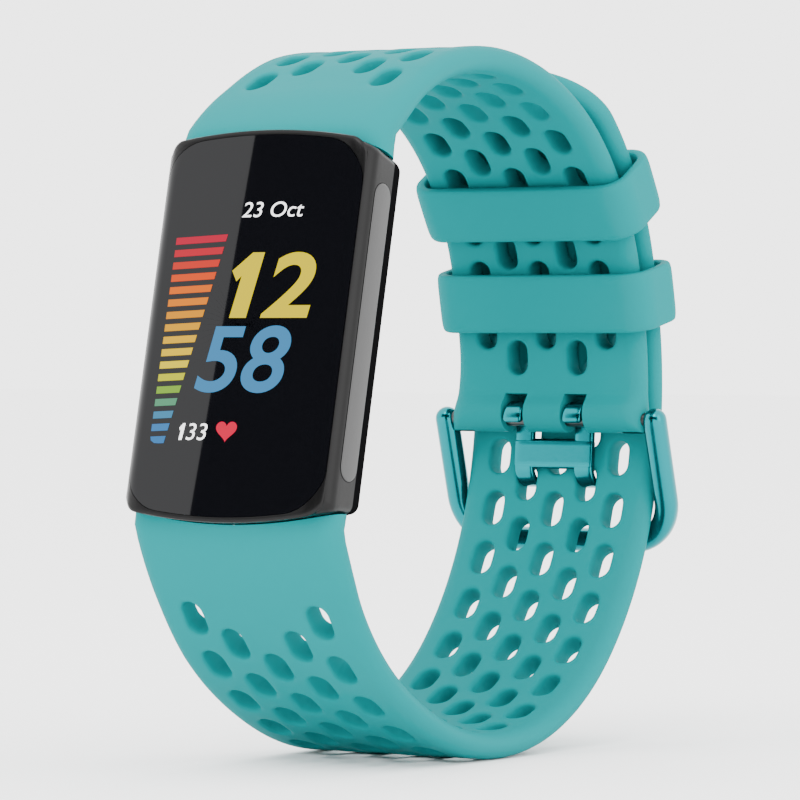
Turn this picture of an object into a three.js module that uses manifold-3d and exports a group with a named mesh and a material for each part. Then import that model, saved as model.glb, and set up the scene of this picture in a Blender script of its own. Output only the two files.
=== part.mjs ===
// Fitness tracker on a perforated two-part silicone band, closed into a loop.
// Millimetres, +Z up. X runs across the band, the screen faces -Y, and the loop lies in the Y-Z plane.
// The origin is the middle of the bottom of the closed loop's bounding box.
import * as THREE from 'three';
import { mergeVertices } from 'three/addons/utils/BufferGeometryUtils.js';
import Module from 'manifold-3d';

const wasm = await Module();
wasm.setup();

// ---------------------------------------------------------------- driving dimensions

const GAP = 0.3; // assembly clearance between neighbouring pieces
const ORIGIN_Y = 1.716; // loop coordinate of the origin along Y
const ORIGIN_Z = -33.893; // loop coordinate of the underside of the loop

const CASE = {
  width: 22.7,
  length: 36.7,
  depth: 6.5,
  endBulge: 1.1, // how far the middle of each end stands out past its corners
  draft: 0.17, // how much each end draws in for each millimetre of depth
  frontRadius: 1.8,
  backRadius: 1.5,
  ledge: 2.0, // depth of the ledge that carries the glass and its gasket
  lean: 12.5, // degrees that the screen leans back in the loop
  faceY: -26.4, // middle of the screen in loop coordinates
  faceZ: 7.05,
};
const GLASS = { width: 21.2, length: 34.8, radius: 2.4, thickness: 1.0 };
const CAVITY = { width: 19.0, length: 30.0, radius: 2.0 };
const DISPLAY = { width: 18.2, length: 29.2, front: 1.3, back: 2.1 };
const SIDE_PLATE = { length: 27.4, front: 1.75, back: 4.35, thickness: 0.6 };
const BUMP = { width: 17.0, length: 26.0, radius: 5.0, height: 10.6, wall: 0.8, edge: 1.5 };
const WINDOW = { width: 9.0, length: 10.4, radius: 2.2, middle: 1.5 };
const CONTACT = { radius: 0.9, spread: 2.5, middle: -9.2 };

const POCKET = { halfWidth: 8.0, front: 3.1, from: 16.2 }; // band socket in each end of the case
const CONNECTOR = {
  front: 4.0,
  back: 7.0,
  from: 18.1,
  to: 21.4,
  wall: 0.4,
  tongueFrom: 16.5,
  tongueFront: 3.4,
  tongueBack: 6.2,
};
const LATCH = {
  halfWidth: 3.0,
  from: 18.7,
  to: 19.9,
  front: 4.9,
  back: 7.5,
  noseHalf: 1.2,
  noseTip: 16.8,
  noseBack: 5.6,
};
const SPRING = { radius: 5.5, halfAngle: 0.47, thickness: 0.15, end: 20.9, front: 5.2, back: 6.6 };

const STRAP = {
  thickness: 2.5,
  endThickness: 6.0, // where the strap meets the case
  taper: 9.0, // length over which the thick end thins down
  width: 21.6,
  endWidth: 22.7,
  narrow: 25.0, // length over which the wide end narrows
  turnIn: 7.0, // length over which the end face turns square to the case
  overlap: 1.6, // how far the raw end runs into the case before it is trimmed to it
};
const TIP = { length: 7.0, halfWidth: 3.0, shares: [0, 0.35, 0.62, 0.82, 0.94, 1] }; // rounded end of the tail
const HOLE = { width: 2.3, length: 3.6, halfSpacing: 3.46 };

// Each strap is a chain of tangent arcs, [radius, turn in degrees], from the case outwards.
const LOWER = {
  start: [-27.2, -11.45],
  heading: -69.3,
  side: 1,
  arcs: [[42.5, 8.7], [27.5, 26.3], [39, 13.7], [29, 28.3], [26, 39.2], [34.5, 25.4], [41.5, 16.2],
    [40, 10.2], [57.9, 6.8], [29.95, 24], [25.95, 22.5]],
  firstRow: 8.94,
  pitch: 2.78,
  rows: 40,
};
const UPPER = {
  start: [-19.1, 24.55],
  heading: 42.2,
  side: -1,
  arcs: [[33, 13.6], [25, 16], [30, 17], [30, 26], [23, 20], [27, 24], [55, 8], [20, 20]],
  firstRow: 7.65,
  pitch: 2.76,
  rows: 22,
};

const BAR = { radius: 0.75, tipRadius: 0.45, halfLength: 12.9, shoulder: 11.0, y: 27.85, z: -2.0 };
const ROLL = { radius: 1.9, slotWidth: 2.4, slotTop: 0.2 };
const FRAME = { wire: 1.15, halfWidth: 12.15, corner: 4.4, reachY: 3.6, reachZ: -12.2 };
const TANG = {
  hookRadius: 1.65,
  width: 1.8,
  plate: 0.8,
  crossHalf: 4.4,
  crossTop: -2.4,
  crossEnd: -5.0,
  root: { inner: 0.9, outer: 1.62, top: 0.2 },
  stem: { top: 0.8, bottom: 0.38 }, // how far out its inner face lies, above and below
  bend: 1.55,
  heel: -7.0,
  tip: 3.8,
  tipRise: 0.25, // how much the underside of a prong slopes up to its tip
};
const KEEPER = { length: 5.9, wall: 1.2, halfWidth: 12.4, play: 0.38, radius: 2.0 };
const TAIL_OFFSET = 3.0; // from the middle of the upper strap to the middle of the tail lying on it
const KEEPER_PLACES = { keeper_upper: 49.55, keeper_lower: 59.75 }; // distance along the upper strap

// ---------------------------------------------------------------- materials

const finish = (color, roughness, metalness) => (
  new THREE.MeshStandardMaterial({ color, roughness, metalness, flatShading: true })
);
const SILICONE = finish(0x30c8c6, 0.6, 0.0);
const TEAL_METAL = finish(0x4fb8b0, 0.22, 1.0);
const DARK_METAL = finish(0x3c3a3a, 0.35, 0.9);
const STEEL = finish(0x9a9a9a, 0.3, 1.0);
const GLASS_BLACK = finish(0x101216, 0.06, 0.0);
const BLACK_PLASTIC = finish(0x1b1c1e, 0.5, 0.0);
const TEAL_PLASTIC = finish(0x1f9f9d, 0.45, 0.0);
const BOARD_GREEN = finish(0x1e5a35, 0.5, 0.0);
const BATTERY_FOIL = finish(0xa8a49a, 0.4, 0.6);
const AMBER_FLEX = finish(0xb8741c, 0.5, 0.0);
const GOLD = finish(0xd2a646, 0.25, 1.0);
const RUBBER_BLACK = finish(0x141414, 0.8, 0.0);

// ---------------------------------------------------------------- solids and shapes

function toSolid(geometry) {
  const bare = geometry.clone();
  bare.deleteAttribute('normal');
  bare.deleteAttribute('uv');
  const merged = mergeVertices(bare, 1e-4);
  const vertProperties = new Float32Array(merged.getAttribute('position').array);
  const triVerts = new Uint32Array(merged.getIndex().array);
  return new wasm.Manifold(new wasm.Mesh({ numProp: 3, vertProperties, triVerts }));
}

function toGeometry(solid) {
  const mesh = solid.getMesh();
  const geometry = new THREE.BufferGeometry();
  geometry.setAttribute('position', new THREE.BufferAttribute(new Float32Array(mesh.vertProperties), 3));
  geometry.setIndex(new THREE.BufferAttribute(new Uint32Array(mesh.triVerts), 1));
  return geometry;
}

const joined = (first, ...others) => others.reduce((sum, one) => sum.add(toSolid(one)), toSolid(first));
const common = (first, ...others) => others.reduce((sum, one) => sum.intersect(toSolid(one)), toSolid(first));
const without = (solid, ...cutters) => cutters.reduce((rest, one) => rest.subtract(toSolid(one)), solid);

function piece(name, geometry, material) {
  const mesh = new THREE.Mesh(geometry, material);
  mesh.name = name;
  return mesh;
}

function extruded(shape, depth, curveSegments = 4) {
  return new THREE.ExtrudeGeometry(shape, { depth, bevelEnabled: false, curveSegments });
}

// A shape drawn in X-Z, extruded along Y from near to far.
function prismY(shape, near, far, curveSegments) {
  const axes = new THREE.Matrix4().makeBasis(
    new THREE.Vector3(1, 0, 0),
    new THREE.Vector3(0, 0, 1),
    new THREE.Vector3(0, -1, 0),
  );
  return extruded(shape, far - near, curveSegments).applyMatrix4(axes.setPosition(0, far, 0));
}

// A shape drawn in Y-Z, extruded along X from near to far.
function prismX(shape, near, far, curveSegments) {
  const axes = new THREE.Matrix4().makeBasis(
    new THREE.Vector3(0, 1, 0),
    new THREE.Vector3(0, 0, 1),
    new THREE.Vector3(1, 0, 0),
  );
  return extruded(shape, far - near, curveSegments).applyMatrix4(axes.setPosition(near, 0, 0));
}

function box(x, y, z) {
  const geometry = new THREE.BoxGeometry(x[1] - x[0], y[1] - y[0], z[1] - z[0]);
  return geometry.translate((x[0] + x[1]) / 2, (y[0] + y[1]) / 2, (z[0] + z[1]) / 2);
}

function roundedRect(width, height, radius, middle = 0) {
  const x = width / 2 - radius;
  const y = height / 2 - radius;
  const shape = new THREE.Shape();
  shape.absarc(x, middle + y, radius, 0, Math.PI / 2);
  shape.absarc(-x, middle + y, radius, Math.PI / 2, Math.PI);
  shape.absarc(-x, middle - y, radius, Math.PI, 1.5 * Math.PI);
  shape.absarc(x, middle - y, radius, 1.5 * Math.PI, 2 * Math.PI);
  shape.closePath();
  return shape;
}

function ringY(outer, inner, near, far) {
  const cutter = prismY(inner, near - 1, far + 1);
  return toGeometry(without(toSolid(prismY(outer, near, far)), cutter));
}

function cylinderX(radius, near, far, sides = 16) {
  const geometry = new THREE.CylinderGeometry(radius, radius, far - near, sides);
  return geometry.rotateZ(Math.PI / 2).translate((near + far) / 2, 0, 0);
}

function cylinderY(radius, near, far, sides = 16) {
  return new THREE.CylinderGeometry(radius, radius, far - near, sides).translate(0, (near + far) / 2, 0);
}

// ---------------------------------------------------------------- tracker case
// In the tracker's own frame the face is the plane Y = 0, +Y runs in towards the wrist
// and Z runs along the screen, with zero half way up it.

function caseOutline(grow) {
  const half = CASE.width / 2 + grow;
  const tip = CASE.length / 2 + grow;
  const radius = (half ** 2 + CASE.endBulge ** 2) / (2 * CASE.endBulge);
  const swing = Math.asin(half / radius);
  const shape = new THREE.Shape();
  shape.absarc(0, tip - radius, radius, Math.PI / 2 - swing, Math.PI / 2 + swing);
  shape.absarc(0, radius - tip, radius, 1.5 * Math.PI - swing, 1.5 * Math.PI + swing);
  shape.closePath();
  return shape;
}

function caseSection(grow) {
  const half = CASE.width / 2 + grow;
  const front = CASE.frontRadius + grow;
  const back = CASE.backRadius + grow;
  const far = CASE.depth + grow;
  const shape = new THREE.Shape();
  shape.absarc(half - back, far - back, back, 0, Math.PI / 2);
  shape.absarc(back - half, far - back, back, Math.PI / 2, Math.PI);
  shape.absarc(front - half, front - grow, front, Math.PI, 1.5 * Math.PI);
  shape.absarc(half - front, front - grow, front, 1.5 * Math.PI, 2 * Math.PI);
  shape.closePath();
  return shape;
}

// Draws a prism's ends in towards its back, in proportion to the depth below the screen.
function drafted(geometry) {
  const place = geometry.getAttribute('position');
  for (let i = 0; i < place.count; i += 1) {
    const z = place.getZ(i);
    place.setZ(i, z * (1 - (CASE.draft * place.getY(i)) / (CASE.length / 2)));
  }
  return geometry;
}

function caseBlank(grow = 0) {
  const reach = CASE.length / 2 + 3;
  const plan = drafted(prismY(caseOutline(grow), -2, CASE.depth + 2, 8));
  const section = extruded(caseSection(grow), 2 * reach, 4).translate(0, 0, -reach);
  return common(plan, section);
}

function sidePlateShape(grow) {
  const height = SIDE_PLATE.back - SIDE_PLATE.front + 2 * grow;
  const shape = roundedRect(height, SIDE_PLATE.length + 2 * grow, height / 2 - 0.05);
  const middle = (SIDE_PLATE.front + SIDE_PLATE.back) / 2;
  return new THREE.Shape(shape.getPoints(4).map((p) => new THREE.Vector2(p.x + middle, p.y)));
}

function caseShell() {
  const recess = roundedRect(GLASS.width + 2 * GAP, GLASS.length + 2 * GAP, GLASS.radius + GAP);
  const cavity = roundedRect(CAVITY.width, CAVITY.length, CAVITY.radius);
  const end = CASE.length / 2 + 1;
  const across = [-POCKET.halfWidth, POCKET.halfWidth];
  const through = [POCKET.front, CASE.depth + 1];
  const seat = CASE.width / 2 - SIDE_PLATE.thickness - GAP;
  const outside = CASE.width / 2 + 1;
  return toGeometry(without(
    caseBlank(),
    prismY(recess, -1, CASE.ledge),
    prismY(cavity, CASE.ledge - 0.1, CASE.depth + 1),
    box(across, through, [POCKET.from, end]),
    box(across, through, [-end, -POCKET.from]),
    prismX(sidePlateShape(GAP), seat, outside),
    prismX(sidePlateShape(GAP), -outside, -seat),
  ));
}

function coverGlass() {
  const outline = prismY(roundedRect(GLASS.width, GLASS.length, GLASS.radius), -1, GLASS.thickness);
  return toGeometry(caseBlank().intersect(toSolid(outline)));
}

function glassGasket() {
  const outer = roundedRect(GLASS.width - 0.2, GLASS.length - 0.2, GLASS.radius);
  const inner = roundedRect(CAVITY.width + 0.4, DISPLAY.length + 1, CAVITY.radius);
  return ringY(outer, inner, GLASS.thickness + GAP, CASE.ledge - GAP);
}

function sidePlate(side) {
  const inner = CASE.width / 2 - SIDE_PLATE.thickness;
  const span = side > 0 ? [inner, CASE.width / 2] : [-CASE.width / 2, -inner];
  return prismX(sidePlateShape(0), span[0], span[1]);
}

// ---------------------------------------------------------------- inside the tracker

const CHASSIS = { front: 2.9, floor: 3.4, rim: 4.7, wall: 0.9 };
const SEAL = { front: 5.0, back: 5.4 };
const FLEX = { halfWidth: 3.0, thickness: 0.15, front: 2.4, back: 4.8, bend: -13.1, start: -8.0, end: -10.6 };

function chassis() {
  const width = CAVITY.width - 2 * GAP - 0.2;
  const length = CAVITY.length - 2 * GAP - 0.2;
  const inner = roundedRect(width - 2 * CHASSIS.wall, length - 2 * CHASSIS.wall, CAVITY.radius - CHASSIS.wall);
  const slotHalf = FLEX.halfWidth + GAP;
  const slot = box([-slotHalf, slotHalf], [2, CHASSIS.rim + 1], [FLEX.bend - 0.45, FLEX.bend + 0.6]);
  return toGeometry(without(
    toSolid(prismY(roundedRect(width, length, CAVITY.radius), CHASSIS.front, CHASSIS.rim)),
    prismY(inner, CHASSIS.floor, CHASSIS.rim + 1),
    slot,
  ));
}

function displayFlex() {
  const { front, back, bend, thickness } = FLEX;
  const strip = new THREE.Shape();
  strip.moveTo(front, FLEX.start);
  strip.lineTo(front, bend);
  strip.lineTo(back + thickness, bend);
  strip.lineTo(back + thickness, FLEX.end);
  strip.lineTo(back, FLEX.end);
  strip.lineTo(back, bend + thickness);
  strip.lineTo(front + thickness, bend + thickness);
  strip.lineTo(front + thickness, FLEX.start);
  strip.closePath();
  return prismX(strip, -FLEX.halfWidth, FLEX.halfWidth);
}

function backCover() {
  const lip = roundedRect(CAVITY.width - 2 * GAP, CAVITY.length - 2 * GAP, CAVITY.radius);
  const edge = BUMP.edge;
  const crown = new THREE.ExtrudeGeometry(
    roundedRect(BUMP.width - 2 * edge, BUMP.length - 2 * edge, BUMP.radius - edge),
    { depth: 4, bevelEnabled: true, bevelSize: edge, bevelThickness: edge, bevelSegments: 2, curveSegments: 3 },
  );
  crown.rotateX(-Math.PI / 2).translate(0, BUMP.height - 4 - edge, 0);
  const lipBack = CASE.depth + 0.3;
  const keep = box([-20, 20], [lipBack - 0.4, BUMP.height + 1], [-20, 20]);
  const hollowWidth = BUMP.width - 2 * edge;
  const hollow = roundedRect(hollowWidth, BUMP.length - 2 * edge, BUMP.radius - edge);
  const opening = roundedRect(
    WINDOW.width + 2 * GAP,
    WINDOW.length + 2 * GAP,
    WINDOW.radius + GAP,
    WINDOW.middle,
  );
  const holes = [-1, 1].map((side) => (
    cylinderY(CONTACT.radius + GAP, 8, 12).translate(side * CONTACT.spread, 0, CONTACT.middle)
  ));
  const shell = toSolid(prismY(lip, SEAL.back + GAP, lipBack)).add(common(crown, keep));
  return toGeometry(without(
    shell,
    prismY(hollow, SEAL.front, BUMP.height - BUMP.wall),
    prismY(opening, 8, 12),
    ...holes,
  ));
}

function sensorWindow() {
  const outline = roundedRect(WINDOW.width, WINDOW.length, WINDOW.radius, WINDOW.middle);
  return prismY(outline, BUMP.height - BUMP.wall - 0.1, BUMP.height - 0.1);
}

function buildTracker() {
  const tracker = new THREE.Group();
  const sealOuter = roundedRect(CAVITY.width - 0.8, CAVITY.length - 0.8, CAVITY.radius);
  const sealInner = roundedRect(CAVITY.width - 3, CAVITY.length - 3, 1.2);
  const displayShape = roundedRect(DISPLAY.width, DISPLAY.length, 1.5);
  const motor = cylinderY(3.4, 4.8, 7.3, 20).translate(3.6, 0, -7.0);
  tracker.add(
    piece('case_shell', caseShell(), DARK_METAL),
    piece('cover_glass', coverGlass(), GLASS_BLACK),
    piece('glass_gasket', glassGasket(), RUBBER_BLACK),
    piece('display_panel', prismY(displayShape, DISPLAY.front, DISPLAY.back), BLACK_PLASTIC),
    piece('display_flex', displayFlex(), AMBER_FLEX),
    piece('side_sensor_right', sidePlate(1), STEEL),
    piece('side_sensor_left', sidePlate(-1), STEEL),
    piece('chassis', chassis(), BLACK_PLASTIC),
    piece('battery', box([-5.2, 5.2], [3.7, 7.2], [-2.4, 10.2]), BATTERY_FOIL),
    piece('main_board', box([-7.4, 7.4], [3.7, 4.5], [-12.2, -2.9]), BOARD_GREEN),
    piece('vibration_motor', motor, STEEL),
    piece('back_seal', ringY(sealOuter, sealInner, SEAL.front, SEAL.back), RUBBER_BLACK),
    piece('back_cover', backCover(), BLACK_PLASTIC),
    piece('sensor_board', box([-5.8, 5.8], [7.9, 8.5], [-4.6, 8.0]), BOARD_GREEN),
    piece('heart_rate_led', box([-1.1, 1.1], [8.8, 9.3], [0.4, 2.6]), GOLD),
    piece('photodiode_left', box([-4.2, -2.2], [8.8, 9.3], [-0.6, 3.6]), BLACK_PLASTIC),
    piece('photodiode_right', box([2.2, 4.2], [8.8, 9.3], [-0.6, 3.6]), BLACK_PLASTIC),
    piece('sensor_window', sensorWindow(), GLASS_BLACK),
  );
  [['charge_contact_left', -1], ['charge_contact_right', 1]].forEach(([name, side]) => {
    const pin = cylinderY(CONTACT.radius, 8.9, BUMP.height, 12);
    tracker.add(piece(name, pin.translate(side * CONTACT.spread, 0, CONTACT.middle), GOLD));
  });
  return tracker;
}

// ---------------------------------------------------------------- band connectors and latches
// Drawn for the top end of the tracker in its own frame; the bottom end is the same, mirrored in Z.

function mirroredZ(geometry) {
  const turned = geometry.clone().applyMatrix4(new THREE.Matrix4().makeScale(1, 1, -1));
  const index = turned.getIndex();
  for (let i = 0; i < index.count; i += 3) {
    const second = index.getX(i + 1);
    index.setX(i + 1, index.getX(i + 2));
    index.setX(i + 2, second);
  }
  return turned;
}

function connector() {
  const half = POCKET.halfWidth - GAP;
  const body = box([-half, half], [CONNECTOR.front, CONNECTOR.back], [CONNECTOR.from, CONNECTOR.to]);
  const tongueDepth = [CONNECTOR.tongueFront, CONNECTOR.tongueBack];
  const tongue = box([-half, half], tongueDepth, [CONNECTOR.tongueFrom, CONNECTOR.from + 0.1]);
  const wellHalf = LATCH.halfWidth + GAP;
  const noseHalf = LATCH.noseHalf + GAP;
  const depth = [LATCH.front - GAP, CONNECTOR.back + 1];
  const well = box([-wellHalf, wellHalf], depth, [LATCH.from - GAP, CONNECTOR.to - CONNECTOR.wall]);
  const slot = box([-noseHalf, noseHalf], depth, [CONNECTOR.tongueFrom - 1, LATCH.from]);
  return toGeometry(without(joined(body, tongue), well, slot));
}

function latchButton() {
  const button = box([-LATCH.halfWidth, LATCH.halfWidth], [LATCH.front, LATCH.back], [LATCH.from, LATCH.to]);
  const noseDepth = [LATCH.front, LATCH.noseBack];
  const nose = box([-LATCH.noseHalf, LATCH.noseHalf], noseDepth, [LATCH.noseTip, LATCH.from + 0.1]);
  return toGeometry(joined(button, nose));
}

// A bowed leaf between the latch and the far wall of the connector's well, with its ends on the wall.
function latchSpring() {
  const { radius, halfAngle, thickness } = SPRING;
  const [from, to] = [1.5 * Math.PI - halfAngle, 1.5 * Math.PI + halfAngle];
  const bow = new THREE.Shape();
  bow.absarc(0, 0, radius, from, to);
  bow.absarc(0, 0, radius - thickness, to, from, true);
  bow.closePath();
  const centre = SPRING.end + radius * Math.cos(halfAngle);
  return toGeometry(toSolid(prismY(bow, SPRING.front, SPRING.back, 8).translate(0, 0, centre)));
}

function buildFittings() {
  const fittings = new THREE.Group();
  [['upper', (g) => g], ['lower', mirroredZ]].forEach(([end, place]) => {
    fittings.add(
      piece(`${end}_connector`, place(connector()), TEAL_PLASTIC),
      piece(`${end}_latch`, place(latchButton()), STEEL),
      piece(`${end}_latch_spring`, place(latchSpring()), STEEL),
    );
  });
  return fittings;
}

// ---------------------------------------------------------------- straps

const degrees = THREE.MathUtils.degToRad;

// A point on a chain of tangent arcs: its place, its heading and its outward normal in Y-Z.
function pointOn(strap, distance) {
  let [y, z] = strap.start;
  let heading = degrees(strap.heading);
  let left = distance;
  for (const [radius, turn] of strap.arcs) {
    const step = Math.min(left, radius * degrees(turn));
    const half = (strap.side * step) / radius / 2;
    const chord = 2 * radius * Math.sin(Math.abs(half));
    y += chord * Math.cos(heading + half);
    z += chord * Math.sin(heading + half);
    heading += 2 * half;
    left -= step;
  }
  y += left * Math.cos(heading);
  z += left * Math.sin(heading);
  return { y, z, heading };
}

const lengthOf = (strap) => strap.arcs.reduce((sum, [radius, turn]) => sum + radius * degrees(turn), 0);

// Falls from one to nothing over a length, quickly at first and then gently.
const easeOut = (distance, length) => (1 - Math.min(Math.max(distance, 0) / length, 1)) ** 2;

// Half the strap's section at a distance along it, and the tilt of its plane.
function sectionAt(strap, distance) {
  const point = pointOn(strap, distance);
  const caseHeading = degrees(90 - CASE.lean) - (strap.side > 0 ? Math.PI : 0);
  const tilt = (caseHeading - point.heading) * easeOut(distance, STRAP.turnIn);
  const thick = STRAP.thickness + (STRAP.endThickness - STRAP.thickness) * easeOut(distance, STRAP.taper);
  const width = STRAP.width + (STRAP.endWidth - STRAP.width) * easeOut(distance, STRAP.narrow);
  return { ...point, plane: point.heading + tilt, thick: thick / 2, width: width / 2 };
}

// A section is a rectangle whose short sides are rounded by chamfered corners, twelve points in all.
function sectionRing(half, thick) {
  const round = Math.min(thick * 0.9, 2.0);
  const corners = [[1, -1], [1, 1], [-1, 1], [-1, -1]];
  return corners.flatMap(([x, n], corner) => [0, 1, 2].map((step) => {
    const angle = (corner - 1) * (Math.PI / 2) + (step * Math.PI) / 4;
    return [x * (half - round) + round * Math.cos(angle), n * (thick - round) + round * Math.sin(angle)];
  }));
}

// Skins a row of rings with quads and closes both ends with fans.
function skinned(rings) {
  const sides = rings[0].length;
  const positions = rings.flat(2);
  const last = (rings.length - 1) * sides;
  const index = [];
  for (let row = 0; row + 1 < rings.length; row += 1) {
    for (let i = 0; i < sides; i += 1) {
      const a = row * sides + i;
      const b = row * sides + ((i + 1) % sides);
      index.push(a, b, b + sides, a, b + sides, a + sides);
    }
  }
  for (let i = 1; i + 1 < sides; i += 1) {
    index.push(0, i + 1, i, last, last + i, last + i + 1);
  }
  const geometry = new THREE.BufferGeometry();
  geometry.setAttribute('position', new THREE.Float32BufferAttribute(positions, 3));
  geometry.setIndex(index);
  return geometry;
}

function strapRing(strap, distance, shrink = 0) {
  const at = sectionAt(strap, Math.max(distance, 0));
  const back = Math.min(distance, 0); // the raw end runs straight into the case
  const y = at.y + back * Math.cos(at.plane);
  const z = at.z + back * Math.sin(at.plane);
  const outY = strap.side * Math.sin(at.plane);
  const outZ = -strap.side * Math.cos(at.plane);
  const ring = sectionRing(at.width - shrink, at.thick).map(([x, n]) => [x, y + n * outY, z + n * outZ]);
  return strap.side > 0 ? ring : ring.reverse();
}

function holeCutter(strap, row, column) {
  const at = pointOn(strap, strap.firstRow + row * strap.pitch);
  const shoulder = (HOLE.length - HOLE.width) / 2;
  const slot = new THREE.Shape([
    [HOLE.width / 2, -shoulder], [HOLE.width / 2, shoulder], [0, HOLE.length / 2],
    [-HOLE.width / 2, shoulder], [-HOLE.width / 2, -shoulder], [0, -HOLE.length / 2],
  ].map(([x, z]) => new THREE.Vector2(x, z)));
  const cutter = prismY(slot, -5, 5);
  cutter.rotateX(at.heading - Math.PI / 2);
  return cutter.translate(column * HOLE.halfSpacing, at.y, at.z);
}

// Rows alternate between three holes and two; the first row has only its outer two.
function holes(strap, rows) {
  return rows.flatMap((row) => {
    const three = row === 0 ? [-2, 2] : [-2, 0, 2];
    const columns = row % 2 === 0 ? three : [-1, 1];
    return columns.map((column) => holeCutter(strap, row, column));
  });
}

function rowNumbers(strap) {
  return Array.from({ length: strap.rows }, (_, row) => row);
}

function intoLoop(geometry) {
  return geometry.rotateX(-degrees(CASE.lean)).translate(0, CASE.faceY, CASE.faceZ);
}

// What the thick end of a strap leaves free: the case itself and the connector with its tongue.
function endCutters(end) {
  const half = POCKET.halfWidth;
  const start = CONNECTOR.tongueFrom - 2;
  const back = BUMP.height + 1;
  const pocket = (front, reach) => {
    const span = end > 0 ? [start, reach] : [-reach, -start];
    return intoLoop(box([-half, half], [front - GAP, back], span));
  };
  return [
    intoLoop(toGeometry(caseBlank(GAP))),
    pocket(CONNECTOR.front, CONNECTOR.to + GAP),
    pocket(CONNECTOR.tongueFront, CONNECTOR.from + GAP),
  ];
}

function lowerStrap() {
  const length = lengthOf(LOWER);
  const stations = [-STRAP.overlap, 0, 1.5, 3, 4.5, 6, 7.5];
  for (let s = LOWER.firstRow + LOWER.pitch / 2; s < length - TIP.length; s += LOWER.pitch) {
    stations.push(s);
  }
  const rings = stations.map((s) => strapRing(LOWER, s));
  TIP.shares.forEach((share) => {
    const shrink = (STRAP.width / 2 - TIP.halfWidth) * (1 - Math.sqrt(1 - 0.98 * share ** 2));
    rings.push(strapRing(LOWER, length - TIP.length * (1 - share), shrink));
  });
  const cutters = [...endCutters(-1), ...holes(LOWER, rowNumbers(LOWER))];
  return toGeometry(without(toSolid(skinned(rings)), ...cutters));
}

function upperStrap() {
  const length = lengthOf(UPPER);
  const stations = [-STRAP.overlap, 0, 1.5, 3, 4.5, 6];
  for (let s = UPPER.firstRow; s < length - 1; s += UPPER.pitch) {
    stations.push(s);
  }
  stations.push(length);
  const rings = stations.map((s) => strapRing(UPPER, s));
  const half = STRAP.width / 2 + 0.15;
  const roll = cylinderX(ROLL.radius, -half, half, 20).translate(0, BAR.y, BAR.z);
  const bore = cylinderX(BAR.radius + GAP, -15, 15, 16).translate(0, BAR.y, BAR.z);
  const slots = [-1, 1].map((side) => {
    const middle = side * HOLE.halfSpacing;
    const across = [middle - ROLL.slotWidth / 2, middle + ROLL.slotWidth / 2];
    return box(across, [BAR.y - 4, BAR.y + 3], [BAR.z - 4, ROLL.slotTop]);
  });
  const body = toSolid(skinned(rings)).add(toSolid(roll));
  return toGeometry(without(body, ...endCutters(1), ...holes(UPPER, rowNumbers(UPPER)), bore, ...slots));
}

// ---------------------------------------------------------------- buckle

function buckleBar() {
  const middle = cylinderX(BAR.radius, -BAR.shoulder, BAR.shoulder, 16);
  const tips = cylinderX(BAR.tipRadius, -BAR.halfLength, BAR.halfLength, 16);
  return toGeometry(joined(middle, tips));
}

// A rounded wire bent into a U that hangs from the bar, with a blind eye in each end.
function buckleFrame() {
  const drop = new THREE.Vector2(FRAME.reachY, FRAME.reachZ);
  const along = (x, share) => new THREE.Vector3(x, drop.x * share, drop.y * share);
  const bend = 1 - FRAME.corner / drop.length();
  const wide = FRAME.halfWidth;
  const narrow = wide - FRAME.corner;
  const line = new THREE.CurvePath();
  line.add(new THREE.LineCurve3(along(wide, 0), along(wide, bend)));
  line.add(new THREE.QuadraticBezierCurve3(along(wide, bend), along(wide, 1), along(narrow, 1)));
  line.add(new THREE.LineCurve3(along(narrow, 1), along(-narrow, 1)));
  line.add(new THREE.QuadraticBezierCurve3(along(-narrow, 1), along(-wide, 1), along(-wide, bend)));
  line.add(new THREE.LineCurve3(along(-wide, bend), along(-wide, 0)));
  const wire = new THREE.Shape();
  wire.absarc(0, 0, FRAME.wire, 0, 2 * Math.PI);
  const tube = new THREE.ExtrudeGeometry(wire, { steps: 28, curveSegments: 5, extrudePath: line });
  const knobs = [-1, 1].map((side) => (
    new THREE.SphereGeometry(FRAME.wire + 0.1, 10, 6).rotateZ(Math.PI / 2).translate(side * wide, 0, 0)
  ));
  const eye = cylinderX(BAR.tipRadius + GAP, -BAR.halfLength - GAP, BAR.halfLength + GAP, 12);
  return toGeometry(without(joined(tube, ...knobs), eye));
}

// Side view of one leg of the tang, drawn in Y-Z about the bar: a stem and an outward prong.
function tangLeg(middle) {
  const { root, stem, heel, tip, plate, crossTop, bend } = TANG;
  const leg = new THREE.Shape();
  leg.moveTo(root.outer, root.top);
  leg.lineTo(root.inner, root.top);
  leg.lineTo(stem.top, crossTop);
  leg.lineTo(stem.bottom, heel + bend);
  leg.quadraticCurveTo(stem.bottom, heel, stem.bottom + bend, heel);
  leg.lineTo(tip, heel + TANG.tipRise);
  leg.lineTo(tip, heel + plate);
  leg.lineTo(stem.bottom + bend, heel + plate);
  leg.quadraticCurveTo(stem.bottom + plate, heel + plate, stem.bottom + plate, heel + bend);
  leg.lineTo(stem.top + plate, crossTop);
  leg.closePath();
  return prismX(leg, middle - TANG.width / 2, middle + TANG.width / 2);
}

// The crossbar of the H: a plate between the legs that leans the way they do.
function tangPlate() {
  const { stem, heel, plate, crossTop, crossEnd, bend } = TANG;
  const lean = (stem.top - stem.bottom) / (crossTop - heel - bend);
  const end = stem.top - lean * (crossTop - crossEnd);
  const cross = new THREE.Shape();
  cross.moveTo(stem.top, crossTop);
  cross.lineTo(end, crossEnd);
  cross.lineTo(end + plate, crossEnd);
  cross.lineTo(stem.top + plate, crossTop);
  cross.closePath();
  return prismX(cross, -TANG.crossHalf, TANG.crossHalf);
}

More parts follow.
